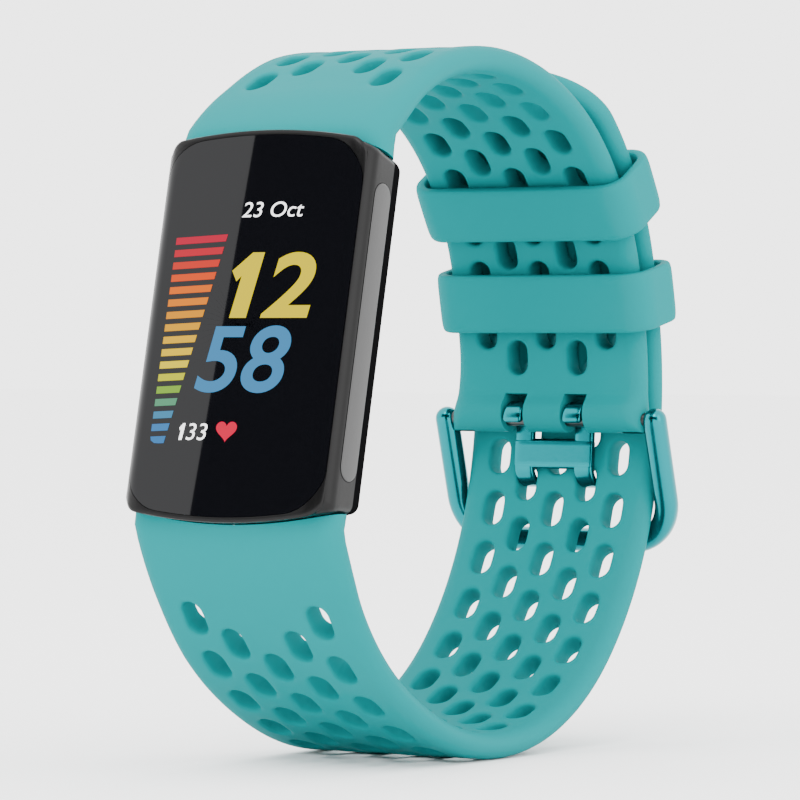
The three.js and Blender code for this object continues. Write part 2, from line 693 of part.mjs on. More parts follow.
function buckleTang() {
  const parts = [tangPlate()];
  [-1, 1].forEach((side) => {
    const middle = side * HOLE.halfSpacing;
    const near = middle - TANG.width / 2;
    parts.push(tangLeg(middle), cylinderX(TANG.hookRadius, near, near + TANG.width, 20));
  });
  const bore = cylinderX(BAR.radius + GAP, -6, 6, 16);
  return toGeometry(without(joined(...parts), bore));
}

function buildBuckle() {
  const buckle = new THREE.Group();
  buckle.position.set(0, BAR.y, BAR.z);
  buckle.add(
    piece('buckle_bar', buckleBar(), STEEL),
    piece('buckle_frame', buckleFrame(), TEAL_METAL),
    piece('buckle_tang', buckleTang(), TEAL_METAL),
  );
  return buckle;
}

// ---------------------------------------------------------------- keepers

// A rounded band round both layers; local Y runs outwards, local Z runs back up the strap.
function keeperBand() {
  const inner = -STRAP.thickness / 2 - KEEPER.play;
  const outer = TAIL_OFFSET + STRAP.thickness / 2 + KEEPER.play;
  const depth = outer - inner;
  const middle = (inner + outer) / 2;
  const width = 2 * (KEEPER.halfWidth - KEEPER.wall);
  const wall = KEEPER.wall;
  const outside = roundedRect(width + 2 * wall, depth + 2 * wall, KEEPER.radius, middle);
  const inside = roundedRect(width, depth, KEEPER.radius - wall, middle);
  const cutter = extruded(inside, KEEPER.length + 2).translate(0, 0, -KEEPER.length / 2 - 1);
  return toGeometry(without(
    toSolid(extruded(outside, KEEPER.length).translate(0, 0, -KEEPER.length / 2)),
    cutter,
  ));
}

function buildKeepers() {
  const keepers = new THREE.Group();
  Object.entries(KEEPER_PLACES).forEach(([name, distance]) => {
    const at = pointOn(UPPER, distance);
    const mesh = piece(name, keeperBand(), SILICONE);
    mesh.position.set(0, at.y, at.z);
    mesh.rotation.x = at.heading + Math.PI / 2;
    keepers.add(mesh);
  });
  return keepers;
}

// ---------------------------------------------------------------- assembly

const atTracker = new THREE.Group();
atTracker.position.set(0, CASE.faceY, CASE.faceZ);
atTracker.rotation.x = -degrees(CASE.lean);
atTracker.add(buildTracker(), buildFittings());

const group = new THREE.Group();
group.position.set(0, -ORIGIN_Y, -ORIGIN_Z);
group.add(
  atTracker,
  piece('lower_strap', lowerStrap(), SILICONE),
  piece('upper_strap', upperStrap(), SILICONE),
  buildBuckle(),
  buildKeepers(),
);

export default group;
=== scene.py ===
"""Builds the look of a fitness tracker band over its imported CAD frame.

Lengths are in millimetres until they reach a mesh. Two frames are used: loop coordinates (Y and Z about
the middle of the buckled loop) and tracker coordinates (X across the screen, depth in towards the wrist
and Z up the screen, about the middle of the screen).
"""

from __future__ import annotations

import logging
import math
from collections.abc import Callable
from dataclasses import dataclass, field
from enum import Enum

import bmesh
import bpy
import numpy as np
from mathutils import Matrix, Vector


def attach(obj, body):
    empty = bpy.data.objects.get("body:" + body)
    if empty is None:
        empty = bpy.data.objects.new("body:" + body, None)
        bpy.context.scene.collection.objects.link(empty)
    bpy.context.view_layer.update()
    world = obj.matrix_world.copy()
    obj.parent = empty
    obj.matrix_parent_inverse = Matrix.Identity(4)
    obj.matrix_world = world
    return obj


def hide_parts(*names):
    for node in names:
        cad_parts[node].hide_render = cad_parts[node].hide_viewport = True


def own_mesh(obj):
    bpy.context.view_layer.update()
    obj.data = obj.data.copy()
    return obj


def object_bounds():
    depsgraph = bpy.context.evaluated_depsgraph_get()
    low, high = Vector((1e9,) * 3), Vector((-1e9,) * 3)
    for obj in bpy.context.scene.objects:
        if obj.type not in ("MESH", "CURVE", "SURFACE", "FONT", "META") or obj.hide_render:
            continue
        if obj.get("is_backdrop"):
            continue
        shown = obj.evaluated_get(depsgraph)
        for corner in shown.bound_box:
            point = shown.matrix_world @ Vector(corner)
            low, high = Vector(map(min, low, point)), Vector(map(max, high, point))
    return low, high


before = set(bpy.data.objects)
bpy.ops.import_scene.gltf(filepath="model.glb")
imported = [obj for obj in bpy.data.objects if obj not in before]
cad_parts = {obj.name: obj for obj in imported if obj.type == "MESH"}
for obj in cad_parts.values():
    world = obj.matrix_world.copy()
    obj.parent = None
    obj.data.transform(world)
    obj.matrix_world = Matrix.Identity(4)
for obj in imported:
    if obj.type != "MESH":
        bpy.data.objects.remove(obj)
log = logging.getLogger("tracker_band")

MM = 0.001
WELD = 2e-7  # vertices closer than this, in metres, become one


class Body(str, Enum):
    """CAD bodies that the pieces ride on."""

    BAND = "band"
    TRACKER = "tracker"
    FRAME = "buckle_frame"
    TANG = "buckle_tang"
    KEEPER_UPPER = "keeper_upper"
    KEEPER_LOWER = "keeper_lower"
    LATCH_UPPER = "upper_latch"
    LATCH_LOWER = "lower_latch"


class Grain(Enum):
    """The kind of fine surface detail that a finish carries."""

    PEBBLED = "pebbled"
    BRUSHED = "brushed"


def srgb(red: int, green: int, blue: int) -> tuple:
    """Turns an 8-bit display colour into linear light.

    Args:
        red: Red from 0 to 255.
        green: Green from 0 to 255.
        blue: Blue from 0 to 255.

    Returns:
        A linear RGBA tuple.
    """
    share = np.array([red, green, blue]) / 255.0
    linear = np.where(share <= 0.04045, share / 12.92, ((share + 0.055) / 1.055) ** 2.4)
    return (*linear.tolist(), 1.0)


# ---------------------------------------------------------------- frames of reference


@dataclass(frozen=True)
class Layout:
    """Where the loop and the tracker stand in the part's frame."""

    origin_y: float = 1.716
    origin_z: float = -33.893
    face_y: float = -26.4
    face_z: float = 7.05
    lean: float = math.radians(12.5)

    def from_loop(self, points: np.ndarray) -> np.ndarray:
        """Moves loop coordinates into the part's frame.

        Args:
            points: Array of (x, y, z) in millimetres.

        Returns:
            The same points about the part's origin, in millimetres.
        """
        return np.asarray(points, float) - np.array([0.0, self.origin_y, self.origin_z])

    def from_tracker(self, points: np.ndarray) -> np.ndarray:
        """Moves tracker coordinates into the part's frame.

        Args:
            points: Array of (x, depth, z) in millimetres.

        Returns:
            The same points about the part's origin, in millimetres.
        """
        x, depth, z = np.moveaxis(np.asarray(points, float), -1, 0)
        cos, sin = math.cos(self.lean), math.sin(self.lean)
        y = self.face_y + depth * cos + z * sin
        up = self.face_z - depth * sin + z * cos
        return self.from_loop(np.stack([x, y, up], axis=-1))

    def to_tracker(self, y: np.ndarray, z: np.ndarray) -> np.ndarray:
        """Finds the tracker depth and height of a loop point.

        Args:
            y: Loop Y, in millimetres.
            z: Loop Z, in millimetres.

        Returns:
            (depth, z) in tracker coordinates.
        """
        cos, sin = math.cos(self.lean), math.sin(self.lean)
        dy, dz = y - self.face_y, z - self.face_z
        return dy * cos - dz * sin, dy * sin + dz * cos


LAYOUT = Layout()


# ---------------------------------------------------------------- meshes


@dataclass
class Surface:
    """Collects blocks of vertices and faces for one mesh."""

    points: list = field(default_factory=list)
    faces: list = field(default_factory=list)
    count: int = 0

    def add(self, points: np.ndarray, faces: list) -> None:
        """Adds a block.

        Args:
            points: (n, 3) array in millimetres, in the part's frame.
            faces: (m, 3) or (m, 4) array of indexes into points.
        """
        self.points.append(np.asarray(points, float).reshape(-1, 3))
        self.faces.append(np.asarray(faces, int) + self.count)
        self.count += len(self.points[-1])

    def grid(self, points: np.ndarray, wrap: bool = False) -> None:
        """Adds a rectangular grid of points as quads.

        Args:
            points: (rows, columns, 3) array in millimetres.
            wrap: Whether each row closes on itself.
        """
        rows, columns = points.shape[:2]
        index = np.arange(rows * columns).reshape(rows, columns)
        if wrap:
            index = np.concatenate([index, index[:, :1]], axis=1)
        corners = [index[:-1, :-1], index[:-1, 1:], index[1:, 1:], index[1:, :-1]]
        self.add(points, np.stack(corners, axis=-1).reshape(-1, 4))

    def cap(self, ring: np.ndarray) -> None:
        """Closes a ring with a fan about its middle.

        Args:
            ring: (n, 3) array in millimetres.
        """
        n = len(ring)
        at = np.arange(n)
        fan = np.stack([at, (at + 1) % n, np.full(n, n)], axis=-1)
        self.add(np.vstack([ring, ring.mean(axis=0)]), fan)

    def build(self, name: str, sharp: float = 40.0) -> bpy.types.Object:
        """Makes a welded, outward-facing, smooth-shaded object.

        Args:
            name: Name of the object and its mesh.
            sharp: Angle in degrees beyond which an edge stays sharp.

        Returns:
            The new object, at the origin.
        """
        mesh = bpy.data.meshes.new(name)
        faces = [face for block in self.faces for face in block.tolist()]
        mesh.from_pydata((np.vstack(self.points) * MM).tolist(), [], faces)
        work = bmesh.new()
        work.from_mesh(mesh)
        bmesh.ops.remove_doubles(work, verts=work.verts, dist=WELD)
        bmesh.ops.recalc_face_normals(work, faces=work.faces)
        work.to_mesh(mesh)
        work.free()
        mesh.polygons.foreach_set("use_smooth", np.ones(len(mesh.polygons), bool))
        mesh.set_sharp_from_angle(angle=math.radians(sharp))
        made = bpy.data.objects.new(name, mesh)
        bpy.context.scene.collection.objects.link(made)
        log.info("%s: %d faces", name, len(mesh.polygons))
        return made


def outline(
    half_x: float,
    half_z: float,
    radius: float,
    bulge: float = 0.0,
    middle: float = 0.0,
    corner: int = 8,
    side: int = 10,
) -> np.ndarray:
    """Draws a rounded rectangle whose ends may bow outwards.

    Args:
        half_x: Half its width, in millimetres.
        half_z: Half its length in the middle, in millimetres.
        radius: Corner radius, in millimetres.
        bulge: How far the middle of each end stands out past its corners.
        middle: Z of its middle.
        corner: Steps round each corner.
        side: Steps along each straight side.

    Returns:
        (n, 2) array of (x, z), in order round the outline.
    """
    radius = min(radius, half_x - 1e-3, half_z - 1e-3)
    turn = np.linspace(0.0, math.pi / 2, corner + 1)
    points = []
    for quarter, (sx, sz) in enumerate([(1, 1), (-1, 1), (-1, -1), (1, -1)]):
        angle = turn + quarter * math.pi / 2
        arc_x = sx * (half_x - radius) + radius * np.cos(angle)
        arc_z = sz * (half_z - radius) + radius * np.sin(angle)
        arc = np.stack([arc_x, arc_z], axis=-1)
        points.append(arc)
        next_x, next_z = [(-1, 1), (-1, -1), (1, -1), (1, 1)][quarter]
        angle = (quarter + 1) * math.pi / 2
        start = [next_x * (half_x - radius), next_z * (half_z - radius)]
        target = np.array(start) + radius * np.array([math.cos(angle), math.sin(angle)])
        share = np.linspace(0.0, 1.0, side + 1)[1:-1, None]
        points.append(arc[-1] * (1 - share) + target * share)
    ring = np.vstack(points)
    ring[:, 1] *= 1 - bulge / half_z * (ring[:, 0] / half_x) ** 2
    ring[:, 1] += middle
    return ring


def stacked(
    name: str, levels: list, sharp: float = 40.0, flip: Callable | None = None
) -> bpy.types.Object:
    """Skins outlines that lie one behind the other in tracker coordinates.

    Args:
        name: Name of the new object.
        levels: (outline, depth) pairs from front to back; depth may be an array along the outline.
        sharp: Angle in degrees beyond which an edge stays sharp.
        flip: Optional function that moves (x, depth, z) points before they are placed.

    Returns:
        The new object.
    """
    rings = []
    for ring, depth in levels:
        depths = np.broadcast_to(depth, len(ring))
        rings.append(np.stack([ring[:, 0], depths, ring[:, 1]], axis=-1))
    local = np.stack(rings)
    placed = LAYOUT.from_tracker(flip(local) if flip else local)
    surface = Surface()
    surface.grid(placed, wrap=True)
    surface.cap(placed[0])
    surface.cap(placed[-1])
    return surface.build(name, sharp)


def superellipse(angle: np.ndarray, power: float) -> np.ndarray:
    """Gives points on a rounded square of half-size one.

    Args:
        angle: Array of angles in radians.
        power: 2 for a circle, more for a squarer shape.

    Returns:
        (n, 2) array.
    """
    cos, sin = np.cos(angle), np.sin(angle)
    x = np.sign(cos) * np.abs(cos) ** (2 / power)
    y = np.sign(sin) * np.abs(sin) ** (2 / power)
    return np.stack([x, y], axis=-1)


def swept(
    surface: Surface,
    path: np.ndarray,
    side: np.ndarray,
    half_side: float,
    half_up: float,
    power: float = 2.0,
    closed: bool = False,
    sides: int = 24,
) -> None:
    """Sweeps a rounded section along a path and adds it to a surface.

    Args:
        surface: The Surface that takes the new faces.
        path: (n, 3) array of points in the part's frame, in millimetres.
        side: (n, 3) unit vectors across the path.
        half_side: Half the section's size along side.
        half_up: Half the section's size square to side and path.
        power: Squareness of the section.
        closed: Whether the path joins up with its start.
        sides: Points round the section.
    """
    if closed:
        along = np.roll(path, -1, axis=0) - np.roll(path, 1, axis=0)
    else:
        along = np.gradient(path, axis=0)
    along /= np.linalg.norm(along, axis=1, keepdims=True)
    up = np.cross(along, side)
    up /= np.linalg.norm(up, axis=1, keepdims=True)
    shape = superellipse(np.linspace(0, 2 * math.pi, sides, endpoint=False), power)
    sideways = shape[None, :, 0, None] * half_side * side[:, None]
    upwards = shape[None, :, 1, None] * half_up * up[:, None]
    rings = path[:, None] + sideways + upwards
    if closed:
        surface.grid(np.concatenate([rings, rings[:1]]), wrap=True)
        return
    surface.grid(rings, wrap=True)
    for end, direction in ((0, -1), (-1, 1)):
        radius = min(half_side, half_up)
        dome = []
        for angle in np.linspace(0, math.pi / 2, 6):
            shrink = 1 - radius * (1 - math.cos(angle)) / np.array([half_side, half_up])
            ring = (
                shape[:, 0, None] * half_side * shrink[0] * side[end]
                + shape[:, 1, None] * half_up * shrink[1] * up[end]
            )
            dome.append(path[end] + ring + direction * radius * math.sin(angle) * along[end])
        surface.grid(np.stack(dome), wrap=True)
        surface.cap(dome[-1])


def place(
    piece: bpy.types.Object, body: Body, slot: str, material: bpy.types.Material, *nodes: str
) -> None:
    """Gives a piece its finish and hangs it on its body.

    Args:
        piece: The object.
        body: The Body that it rides on.
        slot: The record's material slot; not used.
        material: The Blender material.
        *nodes: CAD nodes that it stands for.
    """
    piece.data.materials.clear()
    piece.data.materials.append(material)
    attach(piece, body.value)
    if nodes:
        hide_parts(*nodes)


# ---------------------------------------------------------------- materials


@dataclass(frozen=True)
class Finish:
    """How one material looks."""

    name: str
    slot: str
    color: tuple
    roughness: float
    metallic: float = 0.0
    grain: Grain = Grain.PEBBLED
    grain_scale: float = 2600.0
    grain_height: float = 0.06
    mottle: float = 0.06
    specular: float = 0.5


class Effects:
    """Shader node groups that the finishes share."""

    BUMP_DEPTH = 0.0001
    BRUSH_STRETCH = (0.06, 1.0, 1.0)
    EVEN = (1.0, 1.0, 1.0)
    BROAD_SCALE = 90.0
    FINE_SCALE = 420.0
    MARK_RANGE = (0.55, 0.75)
    MARK_ROUGHNESS = 0.12

    def __init__(self) -> None:
        """Builds both groups."""
        self.relief = self._relief()
        self.handling = self._handling()

    @staticmethod
    def _sockets(tree: bpy.types.NodeTree, inputs: list, outputs: list) -> tuple:
        """Adds sockets to a group.

        Args:
            tree: The node group.
            inputs: (name, socket type, default) triples.
            outputs: (name, socket type) pairs.

        Returns:
            The group's input and output nodes.
        """
        for name, kind, default in inputs:
            socket = tree.interface.new_socket(name, in_out="INPUT", socket_type=kind)
            socket.default_value = default
        for name, kind in outputs:
            tree.interface.new_socket(name, in_out="OUTPUT", socket_type=kind)
        return tree.nodes.new("NodeGroupInput"), tree.nodes.new("NodeGroupOutput")

    def _relief(self) -> bpy.types.NodeTree:
        """Makes fine surface relief, round or drawn out along X.

        Returns:
            The node group.
        """
        tree = bpy.data.node_groups.new("relief", "ShaderNodeTree")
        floats = [("Scale", "NodeSocketFloat", 2600.0), ("Height", "NodeSocketFloat", 0.06)]
        stretch = ("Stretch", "NodeSocketVector", (1.0, 1.0, 1.0))
        inputs, outputs = self._sockets(tree, [*floats, stretch], [("Normal", "NodeSocketVector")])
        where = tree.nodes.new("ShaderNodeTexCoord")
        scaled = tree.nodes.new("ShaderNodeVectorMath")
        scaled.operation = "MULTIPLY"
        noise = tree.nodes.new("ShaderNodeTexNoise")
        noise.inputs["Detail"].default_value = 3.0
        bump = tree.nodes.new("ShaderNodeBump")
        bump.inputs["Distance"].default_value = self.BUMP_DEPTH
        link = tree.links.new
        link(where.outputs["Object"], scaled.inputs[0])
        link(inputs.outputs["Stretch"], scaled.inputs[1])
        link(scaled.outputs["Vector"], noise.inputs["Vector"])
        link(inputs.outputs["Scale"], noise.inputs["Scale"])
        link(inputs.outputs["Height"], bump.inputs["Strength"])
        link(noise.outputs["Fac"], bump.inputs["Height"])
        link(bump.outputs["Normal"], outputs.inputs["Normal"])
        return tree

    def _handling(self) -> bpy.types.NodeTree:
        """Makes the soft unevenness of a handled surface.

        Returns:
            The node group, with a factor about one and a mask of faint marks.
        """
        tree = bpy.data.node_groups.new("handling", "ShaderNodeTree")
        asked = [("Amount", "NodeSocketFloat", 0.06)]
        given = [("Factor", "NodeSocketFloat"), ("Marks", "NodeSocketFloat")]
        inputs, outputs = self._sockets(tree, asked, given)
        where = tree.nodes.new("ShaderNodeTexCoord")
        broad = tree.nodes.new("ShaderNodeTexNoise")
        broad.inputs["Scale"].default_value = self.BROAD_SCALE
        fine = tree.nodes.new("ShaderNodeTexNoise")
        fine.inputs["Scale"].default_value = self.FINE_SCALE
        fine.inputs["Detail"].default_value = 6.0
        spread = tree.nodes.new("ShaderNodeMath")
        spread.operation = "MULTIPLY_ADD"
        centred = tree.nodes.new("ShaderNodeMath")
        centred.operation = "SUBTRACT"
        centred.inputs[1].default_value = 0.5
        spread.inputs[2].default_value = 1.0
        marks = tree.nodes.new("ShaderNodeMapRange")
        marks.inputs["From Min"].default_value = self.MARK_RANGE[0]
        marks.inputs["From Max"].default_value = self.MARK_RANGE[1]
        link = tree.links.new
        link(where.outputs["Object"], broad.inputs["Vector"])
        link(where.outputs["Object"], fine.inputs["Vector"])
        link(broad.outputs["Fac"], centred.inputs[0])
        link(centred.outputs[0], spread.inputs[0])
        link(inputs.outputs["Amount"], spread.inputs[1])
        link(fine.outputs["Fac"], marks.inputs["Value"])
        link(spread.outputs[0], outputs.inputs["Factor"])
        link(marks.outputs["Result"], outputs.inputs["Marks"])
        return tree

    def material(self, finish: Finish) -> bpy.types.Material:
        """Makes the material for a finish.

        Args:
            finish: The Finish.

        Returns:
            The material.
        """
        made = bpy.data.materials.new(finish.name)
        made.use_nodes = True
        tree = made.node_tree
        shader = tree.nodes["Principled BSDF"]
        shader.inputs["Metallic"].default_value = finish.metallic
        shader.inputs["Specular IOR Level"].default_value = finish.specular
        relief = tree.nodes.new("ShaderNodeGroup")
        relief.node_tree = self.relief
        relief.inputs["Scale"].default_value = finish.grain_scale
        relief.inputs["Height"].default_value = finish.grain_height
        stretch = self.BRUSH_STRETCH if finish.grain is Grain.BRUSHED else self.EVEN
        relief.inputs["Stretch"].default_value = stretch
        handling = tree.nodes.new("ShaderNodeGroup")
        handling.node_tree = self.handling
        handling.inputs["Amount"].default_value = finish.mottle
        tint = tree.nodes.new("ShaderNodeVectorMath")
        tint.operation = "SCALE"
        tint.inputs[0].default_value = finish.color[:3]
        rough = tree.nodes.new("ShaderNodeMath")
        rough.operation = "MULTIPLY_ADD"
        rough.inputs[1].default_value = self.MARK_ROUGHNESS * finish.roughness
        rough.inputs[2].default_value = finish.roughness
        link = tree.links.new
        link(handling.outputs["Factor"], tint.inputs["Scale"])
        link(handling.outputs["Marks"], rough.inputs[0])
        link(tint.outputs["Vector"], shader.inputs["Base Color"])
        link(rough.outputs[0], shader.inputs["Roughness"])
        link(relief.outputs["Normal"], shader.inputs["Normal"])
        return made

    def lit(self, name: str, light: tuple) -> bpy.types.Material:
        """Makes the material of a lit screen element.

        Args:
            name: Name of the material.
            light: Linear RGB light that it gives off.

        Returns:
            The material.
        """
        strength = max(light)
        color = (*(value / strength for value in light), 1.0)
        dark = (0.0, 0.0, 0.0)
        finish = Finish(name, SCREEN.slot, dark, 0.2, grain_height=0.0, mottle=0.04, specular=0.1)
        made = self.material(finish)
        shader = made.node_tree.nodes["Principled BSDF"]
        shader.inputs["Emission Color"].default_value = color
        shader.inputs["Emission Strength"].default_value = strength
        return made


SILICONE = Finish("silicone", "silicone", (0.0, 0.158, 0.164), 0.55, mottle=0.03, specular=0.02)
TEAL_METAL = Finish(
    "teal metal", "teal_metal", (0.002, 0.17, 0.19), 0.2, metallic=1.0, grain_height=0.02, specular=0.1
)
DARK_METAL = Finish(
    "dark metal", "dark_metal", (0.0125, 0.0124, 0.0125), 0.3, metallic=0.9, grain=Grain.BRUSHED
)
STEEL = Finish("steel", "steel", (0.059, 0.059, 0.059), 0.34, metallic=0.9, grain=Grain.BRUSHED)
SCREEN = Finish(
    "screen glass", "screen_glass", (0.0015, 0.0016, 0.0022), 0.01, grain_height=0.0, specular=0.2
)
BLACK_PLASTIC = Finish("black plastic", "black_plastic", (0.003, 0.003, 0.0032), 0.42, specular=0.0)
TEAL_PLASTIC = Finish("teal plastic", "teal_plastic", (0.0, 0.13, 0.14), 0.4, specular=0.1)
BOARD = Finish("circuit board", "board", srgb(30, 92, 52), 0.45, grain_scale=900.0, grain_height=0.2)
FOIL = Finish("battery foil", "foil", srgb(170, 165, 155), 0.4, metallic=0.7, grain_height=0.2)
FLEX = Finish("ribbon", "flex", srgb(186, 118, 30), 0.35)
GOLD = Finish("gold plating", "gold", srgb(214, 172, 80), 0.22, metallic=1.0)
BLACK_RUBBER = Finish("black rubber", "black_rubber", srgb(18, 18, 19), 0.75)
FINISHES = (
    SILICONE,
    TEAL_METAL,
    DARK_METAL,
    STEEL,
    SCREEN,
    BLACK_PLASTIC,
    TEAL_PLASTIC,
    BOARD,
    FOIL,
    FLEX,
    GOLD,
    BLACK_RUBBER,
)
FLOOR = Finish(
    "floor", "floor", (0.95, 0.95, 0.95), 0.9, grain_scale=60.0, grain_height=0.01, mottle=0.0
)
CARD = Finish(
    "card", "card", (0.022, 0.022, 0.028), 0.9, grain_height=0.0, mottle=0.0, specular=0.1
)


# ---------------------------------------------------------------- tracker


@dataclass(frozen=True)
class CaseSizes:
    """Sizes of the tracker's case and screen."""

    half_width: float = 11.35
    half_length: float = 18.35
    depth: float = 6.5
    bulge: float = 1.3
    draft: float = 0.17
    corner: float = 0.7
    front_radius: float = 1.8
    back_radius: float = 1.5
    band_front: float = 4.42  # depth where the dark back band begins
    glass_angle: float = math.radians(40.5)
    glass_half_length: float = 17.75
    glass_radius: float = 3.6
    glass_bulge: float = 1.05
    plate_half_length: float = 13.7
    plate_front: float = 1.75
    plate_back: float = 4.35
    seam: float = 0.02  # between the metal and the dark back band


@dataclass(frozen=True)
class BackSizes:
    """Sizes of the back cover with its sensor window and charging contacts."""

    half_width: float = 9.2
    half_length: float = 14.7
    front: float = 6.2
    bump_half_width: float = 8.5
    bump_half_length: float = 13.0
    bump_corner: float = 5.0
    bump_round: float = 1.5
    bump_round_from: float = 9.1
    top: float = 10.6
    window_half_width: float = 4.5
    window_half_length: float = 5.2
    window_corner: float = 2.2
    window_z: float = 1.5
    contact_x: float = 2.5
    contact_z: float = -9.2
    contact_radius: float = 0.9
    well_radius: float = 1.15
    detector_x: float = 3.0
    detector_half_length: float = 1.3


class Tracker:
    """The tracker: case, glass, lit screen, side sensors and the sensor bump on its back."""

    def __init__(self, materials: dict, effects: Effects, sizes: CaseSizes = CaseSizes()) -> None:
        """Keeps what the pieces need.

        Args:
            materials: Material by finish name.
            effects: The shared Effects.
            sizes: The CaseSizes.
        """
        self.materials = materials
        self.effects = effects
        self.sizes = sizes

    def build(self) -> None:
        """Makes every visible piece of the tracker."""
        self._case()
        self._glass()
        self._side_plates()
        self._back()
        Screen(self.effects).build()

    def _place(self, piece: bpy.types.Object, finish: Finish, *nodes: str) -> None:
        """Finishes a piece and hangs it on the tracker.

        Args:
            piece: The object.
            finish: Its Finish.
            *nodes: CAD nodes that it stands for.
        """
        place(piece, Body.TRACKER, finish.slot, self.materials[finish.name], *nodes)

    def _rim(self, angle: float) -> tuple:
        """Follows the rounded front corner that the glass and the case share.

        Args:
            angle: Angle from straight out of the screen, in radians.

        Returns:
            Half the width and the depth there, in millimetres.
        """
        size = self.sizes
        half = size.half_width - size.front_radius * (1 - math.sin(angle))
        return half, size.front_radius * (1 - math.cos(angle))

    def _front(self, half: float, length: float, radius: float, drop: float = 0.0) -> tuple:
        """Gives an outline that lies on the barrel-shaped front.

        Args:
            half: Half its width.
            length: Half its length.
            radius: Corner radius.
            drop: How far it lies under the front surface.

        Returns:
            An (outline, depths) level.
        """
        size = self.sizes
        ring = outline(half, length, radius, size.glass_bulge, side=16)
        beyond = np.clip(np.abs(ring[:, 0]) - (size.half_width - size.front_radius), 0, size.front_radius)
        return ring, size.front_radius - np.sqrt(size.front_radius**2 - beyond**2) + drop

    def _case(self) -> None:
        """Makes the metal case behind the glass and the dark band at its back."""
        size = self.sizes
        half, start_depth = self._rim(size.glass_angle)
        end, radius = size.glass_half_length, size.glass_radius
        tip = size.half_length - size.draft * start_depth
        levels = [
            self._front(half - 1.2, end - 1.2, radius - 1.2, 0.6),
            self._front(half - 0.3, end - 0.3, radius - 0.3, 0.5),
            self._front(half + 0.02, end + 0.02, radius, 0.08),
            self._front(half + 0.05, end + 0.05, radius, 0.01),
            self._front(half + 0.08, end + 0.12, 2.8, 0.0),
            self._front(half + 0.11, tip - 0.22, 1.9, 0.01),
            self._front(half + 0.13, tip - 0.07, 1.6, 0.06),
            self._front(half + 0.14, tip - 0.01, 1.5, 0.16),
        ]
        for angle in np.linspace(size.glass_angle + 0.09, math.pi / 2, 9):
            levels.append(self._case_ring(*self._rim(angle)))
        for depth in (2.4, 3.2, size.band_front):
            levels.append(self._case_ring(size.half_width, depth))
        inner = size.half_width - 0.4
        levels.append(self._case_ring(inner, size.band_front))
        self._place(stacked("case", levels), DARK_METAL, "case_shell")
        outer = size.half_width - size.seam
        levels = [self._case_ring(half, size.band_front + size.seam) for half in (inner, outer)]
        for angle in np.linspace(0.0, math.pi / 2, 8):
            draw = size.back_radius * (1 - math.cos(angle))
            depth = size.depth - size.back_radius * (1 - math.sin(angle))
            levels.append(self._case_ring(outer - draw, depth, 0.25 * draw))
        self._place(stacked("case_back_band", levels), BLACK_PLASTIC)

    def _case_ring(self, half: float, depth: float, inset: float = 0.0) -> tuple:
        """Gives the case's outline at a depth.

        Args:
            half: Half its width there.
            depth: Depth below the screen.
            inset: How far its ends draw in from their drafted place.

        Returns:
            An (outline, depth) level.
        """
        size = self.sizes
        length = size.half_length - size.draft * depth - inset
        corner = size.corner + 0.7 * max(0.0, 1 - depth / size.front_radius)
        return outline(half, length, corner, size.bulge, side=16), depth

    def _glass(self) -> None:
        """Makes the glass, whose long edges roll over with the case."""
        size = self.sizes
        half, _ = self._rim(size.glass_angle)
        length, radius = size.glass_half_length, size.glass_radius
        levels = [self._front(half * part, length * part, 3.0 * part) for part in (0.05, 0.5, 0.8)]
        for angle in np.linspace(0.0, size.glass_angle, 10):
            back = half - self._rim(angle)[0]
            levels.append(self._front(half - back, length - 0.35 * back, radius - 0.5 * back))
        levels += [self._front(half, length, radius, drop) for drop in (0.04, 0.4)]
        self._place(stacked("glass", levels, sharp=50.0), SCREEN, "cover_glass")

    def _side_plates(self) -> None:
        """Makes the long metal sensor plate on each side and its dark surround."""
        size = self.sizes
        middle = (size.plate_front + size.plate_back) / 2
        half = (size.plate_back - size.plate_front) / 2
        for side, hand in ((1, "right"), (-1, "left")):
            for title, grow, proud, finish in (
                ("surround", 0.06, 0.012, BLACK_PLASTIC),
                ("plate", 0.0, 0.09, STEEL),
            ):
                rings = []
                rounding = [(0.0, -0.5), (0.0, proud * 0.4), (-0.06, proud * 0.85), (-0.16, proud)]
                for spread, out in rounding:
                    reach = half + grow + spread
                    ring = outline(reach, size.plate_half_length + grow + spread, reach, side=14)
                    x = np.full(len(ring), side * (size.half_width + out))
                    rings.append(np.stack([x, ring[:, 0] + middle, ring[:, 1]], axis=-1))
                placed = LAYOUT.from_tracker(np.stack(rings))
                surface = Surface()
                surface.grid(placed, wrap=True)
                surface.cap(placed[0])
                surface.cap(placed[-1])
                nodes = (f"side_sensor_{hand}",) if title == "plate" else ()
                self._place(surface.build(f"side_{title}_{hand}"), finish, *nodes)

    def _back(self) -> None:
        """Makes the back cover, its sensor window and its charging contacts."""
        size = BackSizes()
        self._back_shell(size)
        self._window(size)
        for side, hand in ((-1, "left"), (1, "right")):
            for title, radius, depth, finish in (
                ("well", size.well_radius, size.top + 0.01, BLACK_RUBBER),
                ("contact", size.contact_radius, size.top + 0.04, GOLD),
            ):
                levels = []
                for draw, drop in ((0.0, 0.4), (0.0, 0.06), (0.08, 0.0)):
                    reach = radius - draw
                    ring = outline(reach, reach, reach, middle=size.contact_z, side=1)
                    ring[:, 0] += side * size.contact_x
                    levels.append((ring, depth - drop))
                nodes = (f"charge_contact_{hand}",) if title == "contact" else ()
                self._place(stacked(f"charge_{title}_{hand}", levels), finish, *nodes)
        self._sensor(size)

